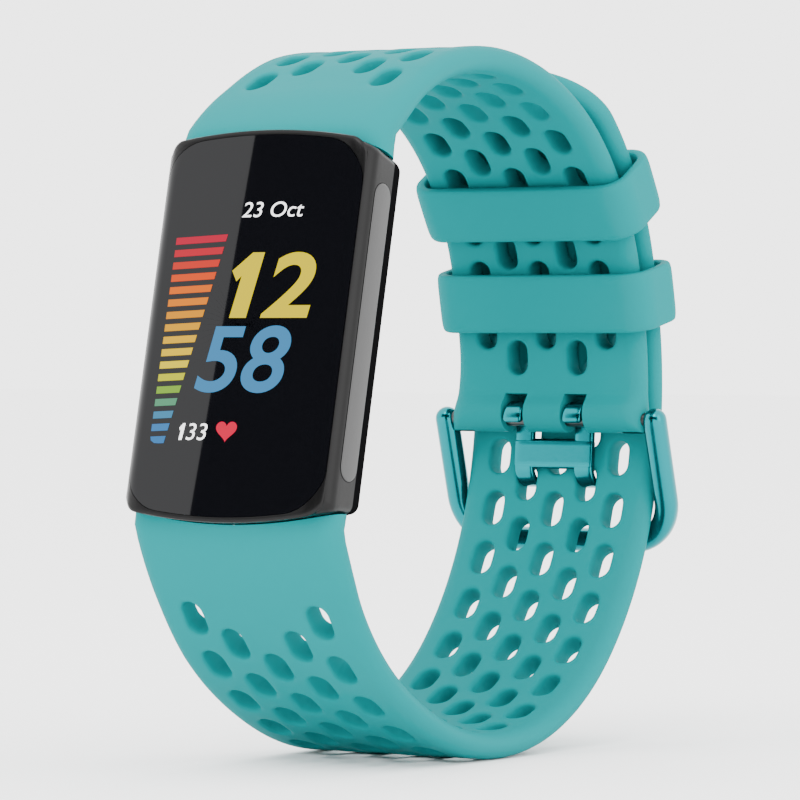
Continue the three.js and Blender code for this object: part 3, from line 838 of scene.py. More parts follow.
    def _back_shell(self, size: BackSizes) -> None:
        """Makes the back cover with its rounded bump.

        Args:
            size: The BackSizes.
        """
        half, length = size.half_width, size.half_length
        cover = [
            (outline(half, length, 2.0), size.front),
            (outline(half, length, 2.0), size.front + 0.5),
            (outline(half - 0.1, length - 0.1, 1.9), size.front + 0.6),
            (outline(8.9, 13.3, 4.6), size.front + 0.62),
            (outline(8.56, 13.05, size.bump_corner), size.front + 0.9),
        ]
        for angle in np.linspace(0.0, math.pi / 2, 9):
            draw = size.bump_round * (1 - math.cos(angle))
            half, length = size.bump_half_width - draw, size.bump_half_length - draw
            ring = outline(half, length, size.bump_corner - draw)
            cover.append((ring, size.bump_round_from + size.bump_round * math.sin(angle)))
        flat = np.array([size.bump_half_width, size.bump_half_length, size.bump_corner]) - size.bump_round
        cover += [(outline(*(flat * share)), size.top) for share in (0.6, 0.2)]
        self._place(stacked("back_shell", cover), BLACK_PLASTIC, "back_cover")

    def _window(self, size: BackSizes) -> None:
        """Makes the sensor window.

        Args:
            size: The BackSizes.
        """
        levels = []
        for draw, corner, depth in (
            (0.0, 0.0, size.top - 0.3),
            (0.0, 0.0, size.top),
            (0.08, 0.08, size.top + 0.04),
            (0.5, 0.4, size.top + 0.07),
        ):
            half, length = size.window_half_width - draw, size.window_half_length - draw
            ring = outline(half, length, size.window_corner - corner, middle=size.window_z)
            levels.append((ring, depth))
        self._place(stacked("sensor_glass", levels), SCREEN, "sensor_window")

    def _sensor(self, size: BackSizes) -> None:
        """Makes the light and the two detectors that show through the window.

        Args:
            size: The BackSizes.
        """
        for x, half, finish, title in (
            (0.0, 0.9, GOLD, "light"),
            (-size.detector_x, 0.8, DARK_METAL, "detector_left"),
            (size.detector_x, 0.8, DARK_METAL, "detector_right"),
        ):
            ring = outline(half, size.detector_half_length, 0.2, middle=size.window_z, side=1)
            ring[:, 0] += x
            levels = [(ring, size.top - 0.1), (ring, size.top + 0.085)]
            self._place(stacked(f"sensor_{title}", levels), finish)


@dataclass(frozen=True)
class ScreenSizes:
    """Where the lit elements lie on the screen, in tracker coordinates."""

    lift: float = 0.02
    slant: float = 0.16  # how far characters lean over
    bar_count: int = 17
    bar_left: float = -8.6
    bar_top_right: float = -2.9
    bar_bottom_right: float = -6.9
    bar_top: float = 8.15
    bar_pitch: float = 1.165
    bar_height: float = 0.66
    bar_tilt: float = 0.05


class Screen:
    """The lit clock face: date, time, pulse and a coloured scale of bars."""

    WHITE = (3.2, 3.2, 3.2)
    YELLOW = (1.14, 0.9, 0.0)
    BLUE = (0.068, 0.33, 0.67)
    RED = (1.11, 0.003, 0.07)
    BAR_COLORS = (
        (0.79, 0.013, 0.061),
        (0.85, 0.02, 0.05),
        (1.0, 0.05, 0.03),
        (1.2, 0.11, 0.01),
        (1.28, 0.22, 0.0),
        (1.25, 0.33, 0.0),
        (1.2, 0.45, 0.0),
        (1.2, 0.56, 0.0),
        (1.25, 0.7, 0.0),
        (1.3, 0.85, 0.0),
        (1.3, 1.0, 0.0),
        (0.9, 0.9, 0.0),
        (0.33, 0.66, 0.05),
        (0.13, 0.47, 0.25),
        (0.07, 0.34, 0.6),
        (0.055, 0.29, 0.7),
        (0.05, 0.27, 0.66),
    )
    ONE = np.array(
        [[-1.6, 0.6], [0.25, 0.6], [1.45, 6.7], [0.15, 6.7], [-1.9, 5.0], [-1.3, 4.0], [-0.8, 4.5]]
    )
    SMALL_ONE = np.array([0.19, 0.254])  # scale of the same figure in the pulse
    SMALL_ONE_AT = np.array([-5.5, -10.75])
    HEART_AT = (-0.3, -9.8)
    HEART_SCALE = (1.15 / 16, 1.0 / 15)
    LAST_BAR_CORNER = np.array([[0.1, 0.3], [0.5, 0.04], [1.0, 0.0]])

    def __init__(self, effects: Effects, sizes: ScreenSizes = ScreenSizes()) -> None:
        """Keeps what the elements need.

        Args:
            effects: The shared Effects.
            sizes: The ScreenSizes.
        """
        self.effects = effects
        self.sizes = sizes

    def build(self) -> None:
        """Makes every lit element."""
        self._show("time_tens", self.ONE, [list(range(len(self.ONE)))], self.YELLOW)
        self._text("time_hours", "2", (1.8, 0.6), (5.45, 6.1), self.YELLOW, 0.0245)
        self._text("time_minutes", "58", (-4.45, -6.35), (10.0, 6.25), self.BLUE, 0.0154)
        self._text("date", "23 Oct", (-1.62, 10.0), (6.7, 1.42), self.WHITE, 0.0)
        small = (self.ONE - self.ONE.min(axis=0)) * self.SMALL_ONE + self.SMALL_ONE_AT
        self._show("pulse_hundreds", small, [list(range(len(small)))], self.WHITE)
        self._text("pulse", "33", (-4.65, -10.75), (2.25, 1.55), self.WHITE, 0.0)
        self._heart()
        self._bars()

    def _show(self, name: str, points: np.ndarray, faces: list, color: tuple) -> None:
        """Lays flat shapes on the glass and lights them.

        Args:
            name: Name of the piece.
            points: (n, 2) array of (x, z).
            faces: Lists of indexes, one per face.
            color: Linear RGB light.
        """
        n = len(points)
        front = np.stack([points[:, 0], np.full(n, -self.sizes.lift), points[:, 1]], axis=-1)
        placed = LAYOUT.from_tracker(front) * MM
        mesh = bpy.data.meshes.new(name)
        mesh.from_pydata(placed.tolist(), [], faces)
        toward = Vector((0.0, -math.cos(LAYOUT.lean), math.sin(LAYOUT.lean)))
        if mesh.polygons[0].normal.dot(toward) < 0:
            mesh.flip_normals()
        made = bpy.data.objects.new(name, mesh)
        bpy.context.scene.collection.objects.link(made)
        place(made, Body.TRACKER, "screen_glass", self.effects.lit(name, color))
        log.info("%s: %d faces", name, len(faces))

    def _text(
        self, name: str, words: str, corner: tuple, size: tuple, color: tuple, weight: float
    ) -> None:
        """Sets bold slanted characters into a given box.

        Args:
            name: Name of the piece.
            words: The characters.
            corner: (x, z) of the box's lower left corner.
            size: (width, height) of the box.
            color: Linear RGB light.
            weight: How much each stroke is thickened, in ems.
        """
        curve = bpy.data.curves.new(name, "FONT")
        curve.body = words
        curve.offset = weight
        curve.shear = self.sizes.slant
        curve.resolution_u = 8
        typed = bpy.data.objects.new(f"{name}_outline", curve)
        bpy.context.scene.collection.objects.link(typed)
        bpy.context.view_layer.update()
        graph = bpy.context.evaluated_depsgraph_get()
        mesh = bpy.data.meshes.new_from_object(typed.evaluated_get(graph))
        flat = np.empty(3 * len(mesh.vertices), np.float32)
        mesh.vertices.foreach_get("co", flat)
        flat = flat.reshape(-1, 3)[:, :2].astype(float)
        faces = [list(polygon.vertices) for polygon in mesh.polygons]
        bpy.data.objects.remove(typed)
        low, high = flat.min(axis=0), flat.max(axis=0)
        points = np.array(corner) + (flat - low) / (high - low) * np.array(size)
        self._show(name, points, faces, color)

    def _heart(self) -> None:
        """Draws the red heart beside the pulse."""
        angle = np.linspace(0, 2 * math.pi, 60, endpoint=False)
        x = 16 * np.sin(angle) ** 3
        z = 13 * np.cos(angle) - 5 * np.cos(2 * angle) - 2 * np.cos(3 * angle) - np.cos(4 * angle)
        points = np.stack([x, z], axis=-1) * self.HEART_SCALE + self.HEART_AT
        self._show("heart", points, [list(range(len(points)))], self.RED)

    def _bars(self) -> None:
        """Draws the coloured bars, each a separate slanted strip."""
        size = self.sizes
        drop = size.bar_pitch * (size.bar_count - 1)
        rate = (size.bar_bottom_right - size.bar_top_right) / drop
        for number, color in enumerate(self.BAR_COLORS):
            top = size.bar_top - number * size.bar_pitch
            bottom = top - size.bar_height
            right_top = size.bar_top_right + rate * (size.bar_top - top)
            right_bottom = size.bar_top_right + rate * (size.bar_top - bottom)
            corners = np.array(
                [[size.bar_left, bottom], [right_bottom, bottom], [right_top, top], [size.bar_left, top]]
            )
            if number == size.bar_count - 1:
                corners = np.vstack([corners[0] + self.LAST_BAR_CORNER, corners[1:]])
            corners[:, 1] += size.bar_tilt * (corners[:, 0] - size.bar_left)
            self._show(f"scale_bar_{number + 1}", corners, [list(range(len(corners)))], color)


# ---------------------------------------------------------------- straps


@dataclass(frozen=True)
class StrapSizes:
    """What the two straps have in common."""

    half_thickness: float = 1.25
    end_half_thickness: float = 2.95
    taper: float = 9.0
    half_width: float = 10.8
    end_half_width: float = 11.35
    narrow: float = 25.0
    turn_in: float = 7.0
    gap: float = 0.1
    hole_half_width: float = 1.1
    hole_half_length: float = 1.8
    column: float = 3.46
    steps: int = 6  # stations in one row pitch
    across: int = 8  # cells across one column
    shoulder: float = 1.5
    shoulder_growth: float = 0.8  # how much the shoulder widens with the strap's thickness
    shoulder_most: float = 2.9
    squareness: float = 0.2
    crown: float = 0.8  # how far the outer face falls away to its edges beside the case
    crown_length: float = 14.0
    flare: float = 0.3  # how much the roll is wider than the strap, on each side
    flare_length: float = 6.0
    tip_half_width: float = 3.0
    rim: tuple = ((0.5, 0.0), (0.3, 0.015), (0.16, 0.07), (0.06, 0.17), (0.0, 0.34))


@dataclass(frozen=True)
class StrapPath:
    """A chain of tangent arcs, [radius, turn in degrees], in loop coordinates."""

    start: tuple
    heading: float
    side: int
    arcs: tuple
    first_row: float
    pitch: float
    rows: int

    @property
    def length(self) -> float:
        """Length of the whole chain, in millimetres."""
        return sum(radius * math.radians(turn) for radius, turn in self.arcs)

    def at(self, distance: np.ndarray) -> tuple:
        """Finds points on the chain.

        Args:
            distance: Array of distances from its start.

        Returns:
            Arrays of Y, Z and heading in radians.
        """
        distance = np.asarray(distance, float)
        heading = math.radians(self.heading)
        y, z = self.start
        out = [np.zeros_like(distance) for _ in range(3)]
        begun = 0.0
        for number, (radius, turn) in enumerate(self.arcs):
            length = radius * math.radians(turn)
            final = number == len(self.arcs) - 1
            inside = (distance >= begun) if number else np.ones_like(distance, bool)
            local = np.clip(distance - begun, 0.0, length)
            half = self.side * local / radius / 2
            chord = 2 * radius * np.sin(np.abs(half))
            beyond = np.where(final & (distance > begun + length), distance - begun - length, 0.0)
            bearing = heading + 2 * half
            step_y = chord * np.cos(heading + half) + beyond * np.cos(bearing)
            step_z = chord * np.sin(heading + half) + beyond * np.sin(bearing)
            out[0] = np.where(inside, y + step_y, out[0])
            out[1] = np.where(inside, z + step_z, out[1])
            out[2] = np.where(inside, bearing, out[2])
            half_turn = self.side * math.radians(turn) / 2
            reach = 2 * radius * math.sin(abs(half_turn))
            y += reach * math.cos(heading + half_turn)
            z += reach * math.sin(heading + half_turn)
            heading += 2 * half_turn
            begun += length
        return out


LOWER_PATH = StrapPath(
    start=(-27.2, -11.45),
    heading=-69.3,
    side=1,
    arcs=(
        (42.5, 8.7),
        (27.5, 26.3),
        (39, 13.7),
        (29, 28.3),
        (26, 39.2),
        (34.5, 25.4),
        (41.5, 16.2),
        (40, 10.2),
        (57.9, 6.8),
        (29.95, 24),
        (25.95, 22.5),
    ),
    first_row=8.94,
    pitch=2.78,
    rows=40,
)
UPPER_PATH = StrapPath(
    start=(-19.1, 24.55),
    heading=42.2,
    side=-1,
    arcs=((33, 13.6), (25, 16), (30, 17), (30, 26), (23, 20), (27, 24), (55, 8), (20, 20)),
    first_row=7.65,
    pitch=2.76,
    rows=22,
)


class StrapEnd(Enum):
    """How the far end of a strap is finished."""

    TAIL = "tail"
    ROLL = "roll"


class Strap:
    """A perforated strap, built as cells in its unrolled plane and bent along its path."""

    TAIL_LENGTH = 7.0
    TAIL_ROUND = 0.985  # 1 would draw the tip in through a whole quarter turn
    ROLL_RADIUS = 1.9
    SLOT_TOP = 2.3  # how far above the bar the roll's slots reach
    LEAD_IN = 13  # stations before the first row of holes

    def __init__(
        self, name: str, path: StrapPath, end: StrapEnd, sizes: StrapSizes = StrapSizes()
    ) -> None:
        """Lays out the strap's stations and columns.

        Args:
            name: Name of the piece.
            path: Its StrapPath.
            end: Its StrapEnd.
            sizes: The StrapSizes.
        """
        self.name = name
        self.path = path
        self.end = end
        self.sizes = sizes
        self.surface = Surface()
        step = path.pitch / sizes.steps
        self.first = self.LEAD_IN
        last_cell = path.first_row + path.pitch * path.rows
        body = path.first_row + step * np.arange(-self.first, sizes.steps * path.rows + 1)
        finish = path.length + (self.ROLL_RADIUS if end is StrapEnd.ROLL else 0.0)
        share = np.sin(np.linspace(0, math.pi / 2, 15)[1:])
        self.stations = np.concatenate([body, last_cell + (finish - last_cell) * share])
        self.columns = sizes.column * np.arange(-2, 3)
        cell = sizes.column / sizes.across
        self.edge_x = sizes.column * 2.5
        self.rulers = cell * (np.arange(5 * sizes.across + 1) - 2.5 * sizes.across)

    def build(self, material: bpy.types.Material) -> None:
        """Makes the strap.

        Args:
            material: Its material.
        """
        steps = self.sizes.steps
        for number, column in enumerate(self.columns):
            rows = [row for row in range(self.path.rows) if row % 2 == number % 2]
            if number == 2:
                rows.remove(0)
            reached = 0
            for row in rows:
                middle = self.first + row * steps
                self._plain(number, reached, middle - steps)
                self._hole(column, middle)
                reached = middle + steps
            self._plain(number, reached, len(self.stations) - 1)
        self._edges()
        self._ends()
        made = self.surface.build(f"{self.name}_moulding", sharp=48.0)
        place(made, Body.BAND, SILICONE.slot, material, self.name)

    def _half_thickness(self, distance: np.ndarray) -> np.ndarray:
        """Gives half the strap's thickness.

        Args:
            distance: Array of distances along the strap.

        Returns:
            Array in millimetres.
        """
        size = self.sizes
        rest = (1 - np.clip(distance / size.taper, 0, 1)) ** 2
        half = size.half_thickness + (size.end_half_thickness - size.half_thickness) * rest
        if self.end is StrapEnd.TAIL:
            return half
        off = np.clip(1 - ((distance - self.path.length) / self.ROLL_RADIUS) ** 2, 0, 1)
        roll = self.ROLL_RADIUS * np.sqrt(off)
        swollen = (half**6 + roll**6) ** (1 / 6)
        return np.where(distance > self.path.length, roll, swollen)

    def _half_width(self, distance: np.ndarray) -> np.ndarray:
        """Gives half the strap's width.

        Args:
            distance: Array of distances along the strap.

        Returns:
            Array in millimetres.
        """
        size = self.sizes
        rest = (1 - np.clip(distance / size.narrow, 0, 1)) ** 2
        half = size.half_width + (size.end_half_width - size.half_width) * rest
        if self.end is StrapEnd.ROLL:
            near = np.clip(1 - (self.path.length - distance) / size.flare_length, 0, 1)
            half = half + size.flare * near**2
        if self.end is StrapEnd.TAIL:
            into = np.clip((distance - self.path.length + self.TAIL_LENGTH) / self.TAIL_LENGTH, 0, 1)
            drawn = 1 - np.sqrt(1 - self.TAIL_ROUND * into**2)
            half = half - (size.half_width - size.tip_half_width) * drawn
        return half

    def _bend(self, distance: np.ndarray, x: np.ndarray, height: np.ndarray) -> np.ndarray:
        """Bends points of the unrolled strap into the loop.

        Args:
            distance: Distance along the strap.
            x: Place across it, before the tail narrows.
            height: Distance outwards from its middle surface.

        Returns:
            (..., 3) array in the part's frame, in millimetres.
        """
        distance, x, height = np.broadcast_arrays(distance, x, height)
        size = self.sizes
        start = self.stations[0]
        region = self.path.first_row - self.path.pitch - start
        first = self._start_at(x, height)
        rest = np.clip(1 - (distance - start) / region, 0, 1)
        distance = distance + (first - start) * rest**1.5
        y, z, heading = self.path.at(np.maximum(distance, 0.0))
        case = math.pi / 2 - LAYOUT.lean - (math.pi if self.path.side > 0 else 0.0)
        turn_in = (1 - np.clip(distance / size.turn_in, 0, 1)) ** 2
        plane = heading + (case - heading) * turn_in
        back = np.minimum(distance, 0.0)
        y = y + back * np.cos(plane) + height * self.path.side * np.sin(plane)
        z = z + back * np.sin(plane) - height * self.path.side * np.cos(plane)
        return LAYOUT.from_loop(np.stack([x, y, z], axis=-1))

    def _start_at(self, x: np.ndarray, height: np.ndarray) -> np.ndarray:
        """Finds where the strap meets the case.

        Args:
            x: Place across the strap.
            height: Distance outwards from its middle surface.

        Returns:
            Distance along the strap of its end there.
        """
        depth, along = LAYOUT.to_tracker(*self.path.start)
        case = CaseSizes()
        here = depth - height
        tip = case.half_length - case.bulge * (x / case.half_width) ** 2
        return tip - case.draft * here + self.sizes.gap - abs(along)

    def _crown(self, distance: np.ndarray) -> np.ndarray:
        """Gives how far the outer face falls away at its edges.

        Args:
            distance: Distance along the strap.

        Returns:
            Array in millimetres.
        """
        return self.sizes.crown * np.clip(1 - distance / self.sizes.crown_length, 0, 1)

    def _skin(self, distance: np.ndarray, x: np.ndarray, drop: float, face: int) -> np.ndarray:
        """Places points on the outer or the inner face.

        Args:
            distance: Distance along the strap.
            x: Place across it.
            drop: How far the surface lies below the plain face there.
            face: 1 for the outer face, -1 for the inner one.

        Returns:
            (..., 3) array in the part's frame, in millimetres.
        """
        distance, x, drop = np.broadcast_arrays(distance, x, drop)
        half = self._half_thickness(distance)
        wide = self._half_width(distance)
        narrowed = x * np.minimum(wide / self.sizes.half_width, 1.0)
        crown = 0.0
        if face > 0:
            crown = self._crown(distance) * (narrowed / wide) ** 2
        return self._bend(distance, narrowed, face * (half - np.minimum(drop, half) - crown))

    def _plain(self, number: int, begin: int, finish: int) -> None:
        """Fills part of a column between two stations.

        Args:
            number: Index of the column.
            begin: Index of the first station.
            finish: Index of the last station.
        """
        if finish <= begin:
            return
        across = self.sizes.across
        x = self.rulers[number * across : (number + 1) * across + 1]
        spans = [(0, across)]
        slotted = finish
        if self.end is StrapEnd.ROLL and number in (1, 3) and finish == len(self.stations) - 1:
            slotted = int(np.searchsorted(self.stations, self.path.length - self.SLOT_TOP))
            spans = [(0, 1), (across - 1, across)]
        for face in (1, -1):
            whole = self.stations[begin : slotted + 1, None]
            self.surface.grid(self._skin(whole, x[None], 0.0, face))
            if slotted < finish:
                rest = self.stations[slotted : finish + 1, None]
                for low, high in spans:
                    self.surface.grid(self._skin(rest, x[None, low : high + 1], 0.0, face))
        if slotted < finish:
            self._slot_walls(x, slotted, finish)

    def _slot_walls(self, x: np.ndarray, slotted: int, finish: int) -> None:
        """Closes the sides and the top of a slot in the roll.

        Args:
            x: Places across the column.
            slotted: Index of the station at the slot's top.
            finish: Index of the last station.
        """
        rest = self.stations[slotted : finish + 1]
        for wall in (x[1], x[-2]):
            both = [self._skin(rest, wall, 0.0, face) for face in (1, -1)]
            self.surface.grid(np.stack(both))
        top = [self._skin(rest[0], x[1:-1], 0.0, face) for face in (1, -1)]
        self.surface.grid(np.stack(top))

    def _hole(self, column: float, middle: int) -> None:
        """Makes one hole and the cell round it, on both faces.

        Args:
            column: Place of the hole across the strap.
            middle: Index of the station through its middle.
        """
        size = self.sizes
        steps, across = size.steps, size.across
        along = self.stations[middle - steps : middle + steps + 1]
        wide = column + size.column * (np.arange(across + 1) / across - 0.5)
        right = np.stack([along[:-1], np.full(2 * steps, wide[-1])], axis=-1)
        top = np.stack([np.full(across, along[-1]), wide[:0:-1]], axis=-1)
        left = np.stack([along[:0:-1], np.full(2 * steps, wide[0])], axis=-1)
        bottom = np.stack([np.full(across, along[0]), wide[:-1]], axis=-1)
        border = np.vstack([right, top, left, bottom])
        centre = np.array([self.stations[middle], column])
        angle = np.arctan2(border[:, 0] - centre[0], border[:, 1] - centre[1])
        radius = self._hole_radius(angle)
        walls = []
        for face in (1, -1):
            rings = [self._skin(border[:, 0], border[:, 1], 0.0, face)]
            for spread, drop in size.rim:
                reach = radius + spread
                along_hole = centre[0] + reach * np.sin(angle)
                across_hole = centre[1] + reach * np.cos(angle)
                rings.append(self._skin(along_hole, across_hole, drop, face))
            self.surface.grid(np.stack(rings), wrap=True)
            walls.append(rings[-1])
        share = np.linspace(0, 1, 4)[:, None, None]
        self.surface.grid(walls[0] * (1 - share) + walls[1] * share, wrap=True)

    def _hole_radius(self, angle: np.ndarray) -> np.ndarray:
        """Gives the hole's outline, a slot with round ends.

        Args:
            angle: Angles from the strap's X axis.

        Returns:
            Distance of the outline from the hole's middle.
        """
        half = self.sizes.hole_half_width
        straight = self.sizes.hole_half_length - half
        cos, sin = np.abs(np.cos(angle)), np.abs(np.sin(angle))
        side = half / np.maximum(cos, 1e-6)
        end = straight * sin + np.sqrt(np.maximum(half**2 - (straight * cos) ** 2, 0))
        return np.where(side * sin <= straight, side, end)

    def _edge_profile(self, distance: np.ndarray, side: int) -> np.ndarray:
        """Follows the strap's edge from its outer face round to its inner one.

        Args:
            distance: Array of distances along the strap.
            side: 1 for the edge at positive X, -1 for the other.

        Returns:
            (stations, points, 3) array in the part's frame, in millimetres.
        """
        half = self._half_thickness(distance)[:, None]
        wide = self._half_width(distance)[:, None]
        size = self.sizes
        thicker = half - size.half_thickness
        reach = np.minimum(size.shoulder + size.shoulder_growth * thicker, size.shoulder_most)
        power = 2.0 + size.squareness * np.clip(thicker, 0, 1.75)
        angle = np.linspace(math.pi / 2, -math.pi / 2, 15)[None]
        cos, sin = np.cos(angle), np.sin(angle)
        narrowed = np.minimum(wide / self.sizes.half_width, 1.0)
        flat = self.edge_x * narrowed
        start = np.maximum(wide - reach, flat)
        x_arc = start + (wide - start) * np.abs(cos) ** (2 / power)
        n_arc = half * np.sign(sin) * np.abs(sin) ** (2 / power)
        x = np.concatenate([flat, x_arc, flat], axis=1)
        height = np.concatenate([half, n_arc, -half], axis=1)
        crown = self._crown(distance[:, None]) * (x / wide) ** 2
        outer = np.clip(height / half, 0, 1)
        return self._bend(distance[:, None], side * x, height - crown * outer)

    def _edges(self) -> None:
        """Makes both rounded long edges."""
        for side in (1, -1):
            self.surface.grid(self._edge_profile(self.stations, side))

    def _ends(self) -> None:
        """Closes the end at the case, and the tail's tip."""
        ends = [self.stations[:1]]
        if self.end is StrapEnd.TAIL:
            ends.append(self.stations[-1:])
        for at in ends:
            both = [self._skin(at[0], self.rulers, 0.0, face) for face in (1, -1)]
            share = np.linspace(0, 1, 5)[:, None, None]
            self.surface.grid(both[0] * (1 - share) + both[1] * share)
            for side in (1, -1):
                ring = self._edge_profile(at, side)[0]
                inner = both[0][-1 if side > 0 else 0]
                other = both[1][-1 if side > 0 else 0]
                ladder = inner * (1 - share[:, 0]) + other * share[:, 0]
                self.surface.cap(np.vstack([ring, ladder[-2:0:-1]]))


# ---------------------------------------------------------------- keepers, buckle and latches


@dataclass(frozen=True)
class KeeperSizes:
    """Sizes of the loops that hold the tail down."""

    half_length: float = 2.95
    wall: float = 1.2
    half_width: float = 12.4
    inner: float = -1.63
    outer: float = 4.63
    radius: float = 2.2


class Keepers:
    """Two soft loops round both layers of strap."""

    PLACES = {Body.KEEPER_UPPER: 49.55, Body.KEEPER_LOWER: 59.75}

    def build(self, material: bpy.types.Material) -> None:
        """Makes both loops.

        Args:
            material: Their material.
        """
        size = KeeperSizes()
        half = (size.outer - size.inner) / 2 + size.wall / 2
        middle = (size.outer + size.inner) / 2
        ring = outline(size.half_width - size.wall / 2, half, size.radius, side=24)
        ring[:, 1] += middle
        for body, distance in self.PLACES.items():
            y, z, heading = (value[0] for value in UPPER_PATH.at(np.array([distance])))
            out = np.array([0.0, -math.sin(heading), math.cos(heading)])
            along = np.array([0.0, math.cos(heading), math.sin(heading)])
            path = LAYOUT.from_loop([[0.0, y, z]]) + ring[:, :1] * np.array([1.0, 0, 0]) + ring[:, 1:] * out
            surface = Surface()
            side = np.broadcast_to(along, path.shape)
            swept(surface, path, side, size.half_length, size.wall / 2, 5.0, closed=True, sides=32)
            made = surface.build(f"{body.value}_loop", sharp=60.0)
            place(made, body, SILICONE.slot, material, body.value)


@dataclass(frozen=True)
class BuckleSizes:
    """Sizes of the buckle, about the middle of its bar."""

    y: float = 27.85
    z: float = -2.0
    wire: float = 1.15
    half_width: float = 12.15
    corner: float = 4.4
    reach_y: float = 3.6
    reach_z: float = -12.2
    bar_radius: float = 0.75
    bar_half_length: float = 11.0
    hook_radius: float = 1.4
    leg_spacing: float = 3.46
    leg_half_width: float = 1.04
    leg_half_thickness: float = 0.38
    plate_half_width: float = 4.5
    plate_half_thickness: float = 0.4
    plate_path: tuple = ((0.0, 1.1, -2.4), (0.0, 1.028, -3.5), (0.0, 0.95, -4.65))
    stem_foot: tuple = (0.95, -4.6)
    bend_start: tuple = (0.92, -4.75)
    bend_radius: float = 1.85
    prong_from: tuple = (2.9, -6.6)
    prong_to: tuple = (3.55, -6.55)


class Buckle:
    """The D-shaped frame, the H-shaped tang and the bar that both hang on."""

    def __init__(self, materials: dict, sizes: BuckleSizes = BuckleSizes()) -> None:
        """Keeps what the pieces need.

        Args:
            materials: Material by finish name.
            sizes: The BuckleSizes.
        """
        self.materials = materials
        self.sizes = sizes
        self.centre = LAYOUT.from_loop([0.0, sizes.y, sizes.z])

    def build(self) -> None:
        """Makes the three metal pieces."""
        self._frame()
        self._tang()
        self._bar()

    def _frame(self) -> None:
        """Sweeps the frame's rounded wire and caps its arms."""
        size = self.sizes
        drop = np.array([0.0, size.reach_y, size.reach_z])
        long = np.linalg.norm(drop)
        down = drop / long
        across = np.array([1.0, 0.0, 0.0])
        bend = long - size.corner
        narrow = size.half_width - size.corner
        turn = np.linspace(0, math.pi / 2, 14)
        arm = np.linspace(0, bend, 20)[:-1]
        arm_x = np.append(np.full(len(arm), size.half_width), narrow + size.corner * np.cos(turn))
        arm_reach = np.append(arm, bend + size.corner * np.sin(turn))
        front_x = np.linspace(narrow, -narrow, 26)[1:-1]
        x = np.concatenate([arm_x, front_x, -arm_x[::-1]])
        reach = np.concatenate([arm_reach, np.full(len(front_x), long), arm_reach[::-1]])
        path = x[:, None] * across + reach[:, None] * down + self.centre
        out = np.cross(across, down)
        surface = Surface()
        swept(surface, path, np.broadcast_to(out, path.shape), size.wire, size.wire, 2.3, sides=28)
        made = surface.build("buckle_wire", sharp=60.0)
        place(made, Body.FRAME, TEAL_METAL.slot, self.materials[TEAL_METAL.name], "buckle_frame")

    def _leg_line(self) -> np.ndarray:
        """Draws the side view of a leg: round the bar, down and out through the strap.

        Returns:
            (n, 2) array of (y, z) about the bar.
        """
        size = self.sizes
        wrap = np.linspace(math.radians(180), math.radians(-80), 30)
        hook = size.hook_radius * np.stack([np.cos(wrap), np.sin(wrap)], axis=-1)
        hook = hook[: np.argmax(hook[:, 0] > 1.3) + 1]
        share = np.linspace(0, 1, 10)[1:, None]
        stem = hook[-1] * (1 - share) + np.array(size.stem_foot) * share
        turn = np.linspace(0, math.pi / 2, 12)[1:]
        quarter = np.stack([1 - np.cos(turn), -np.sin(turn)], axis=-1)
        bend = np.array(size.bend_start) + size.bend_radius * quarter
        prong = np.linspace(size.prong_from, size.prong_to, 4)
        return np.vstack([hook, stem, bend, prong])

    def _tang(self) -> None:
        """Makes the two legs with their hooks and prongs, and the plate between them."""
        size = self.sizes
        surface = Surface()
        line = self._leg_line()
        along = np.array([1.0, 0.0, 0.0])
        for side in (1, -1):
            path = np.column_stack([np.full(len(line), side * size.leg_spacing), line]) + self.centre
            across = np.broadcast_to(along, path.shape)
            swept(surface, path, across, size.leg_half_width, size.leg_half_thickness, 5.0, sides=32)
        share = np.linspace(0, 1, 8)
        columns = [np.interp(share, [0, 0.5, 1], column) for column in np.transpose(size.plate_path)]
        path = np.stack(columns, axis=-1) + self.centre
        across = np.broadcast_to(along, path.shape)
        swept(surface, path, across, size.plate_half_width, size.plate_half_thickness, 14.0, sides=64)
        made = surface.build("buckle_prongs", sharp=60.0)
        place(made, Body.TANG, TEAL_METAL.slot, self.materials[TEAL_METAL.name], "buckle_tang")

    def _bar(self) -> None:
        """Makes the bar inside the roll."""
        size = self.sizes
        surface = Surface()
        tip = np.array([size.bar_half_length, 0.0, 0.0])
        path = np.linspace(-tip, tip, 12) + self.centre
        up = np.broadcast_to(np.array([0.0, 0.0, 1.0]), path.shape)
        swept(surface, path, up, size.bar_radius, size.bar_radius, sides=20)
        made = surface.build("buckle_pin")
        place(made, Body.BAND, STEEL.slot, self.materials[STEEL.name], "buckle_bar")


@dataclass(frozen=True)
class BlockSizes:
    """One block: half its width, (front, back) depths, (from, to) places, and its roundings."""

    half_x: float
    depth: tuple
    along: tuple
    radius: float
    edge: float = 0.18


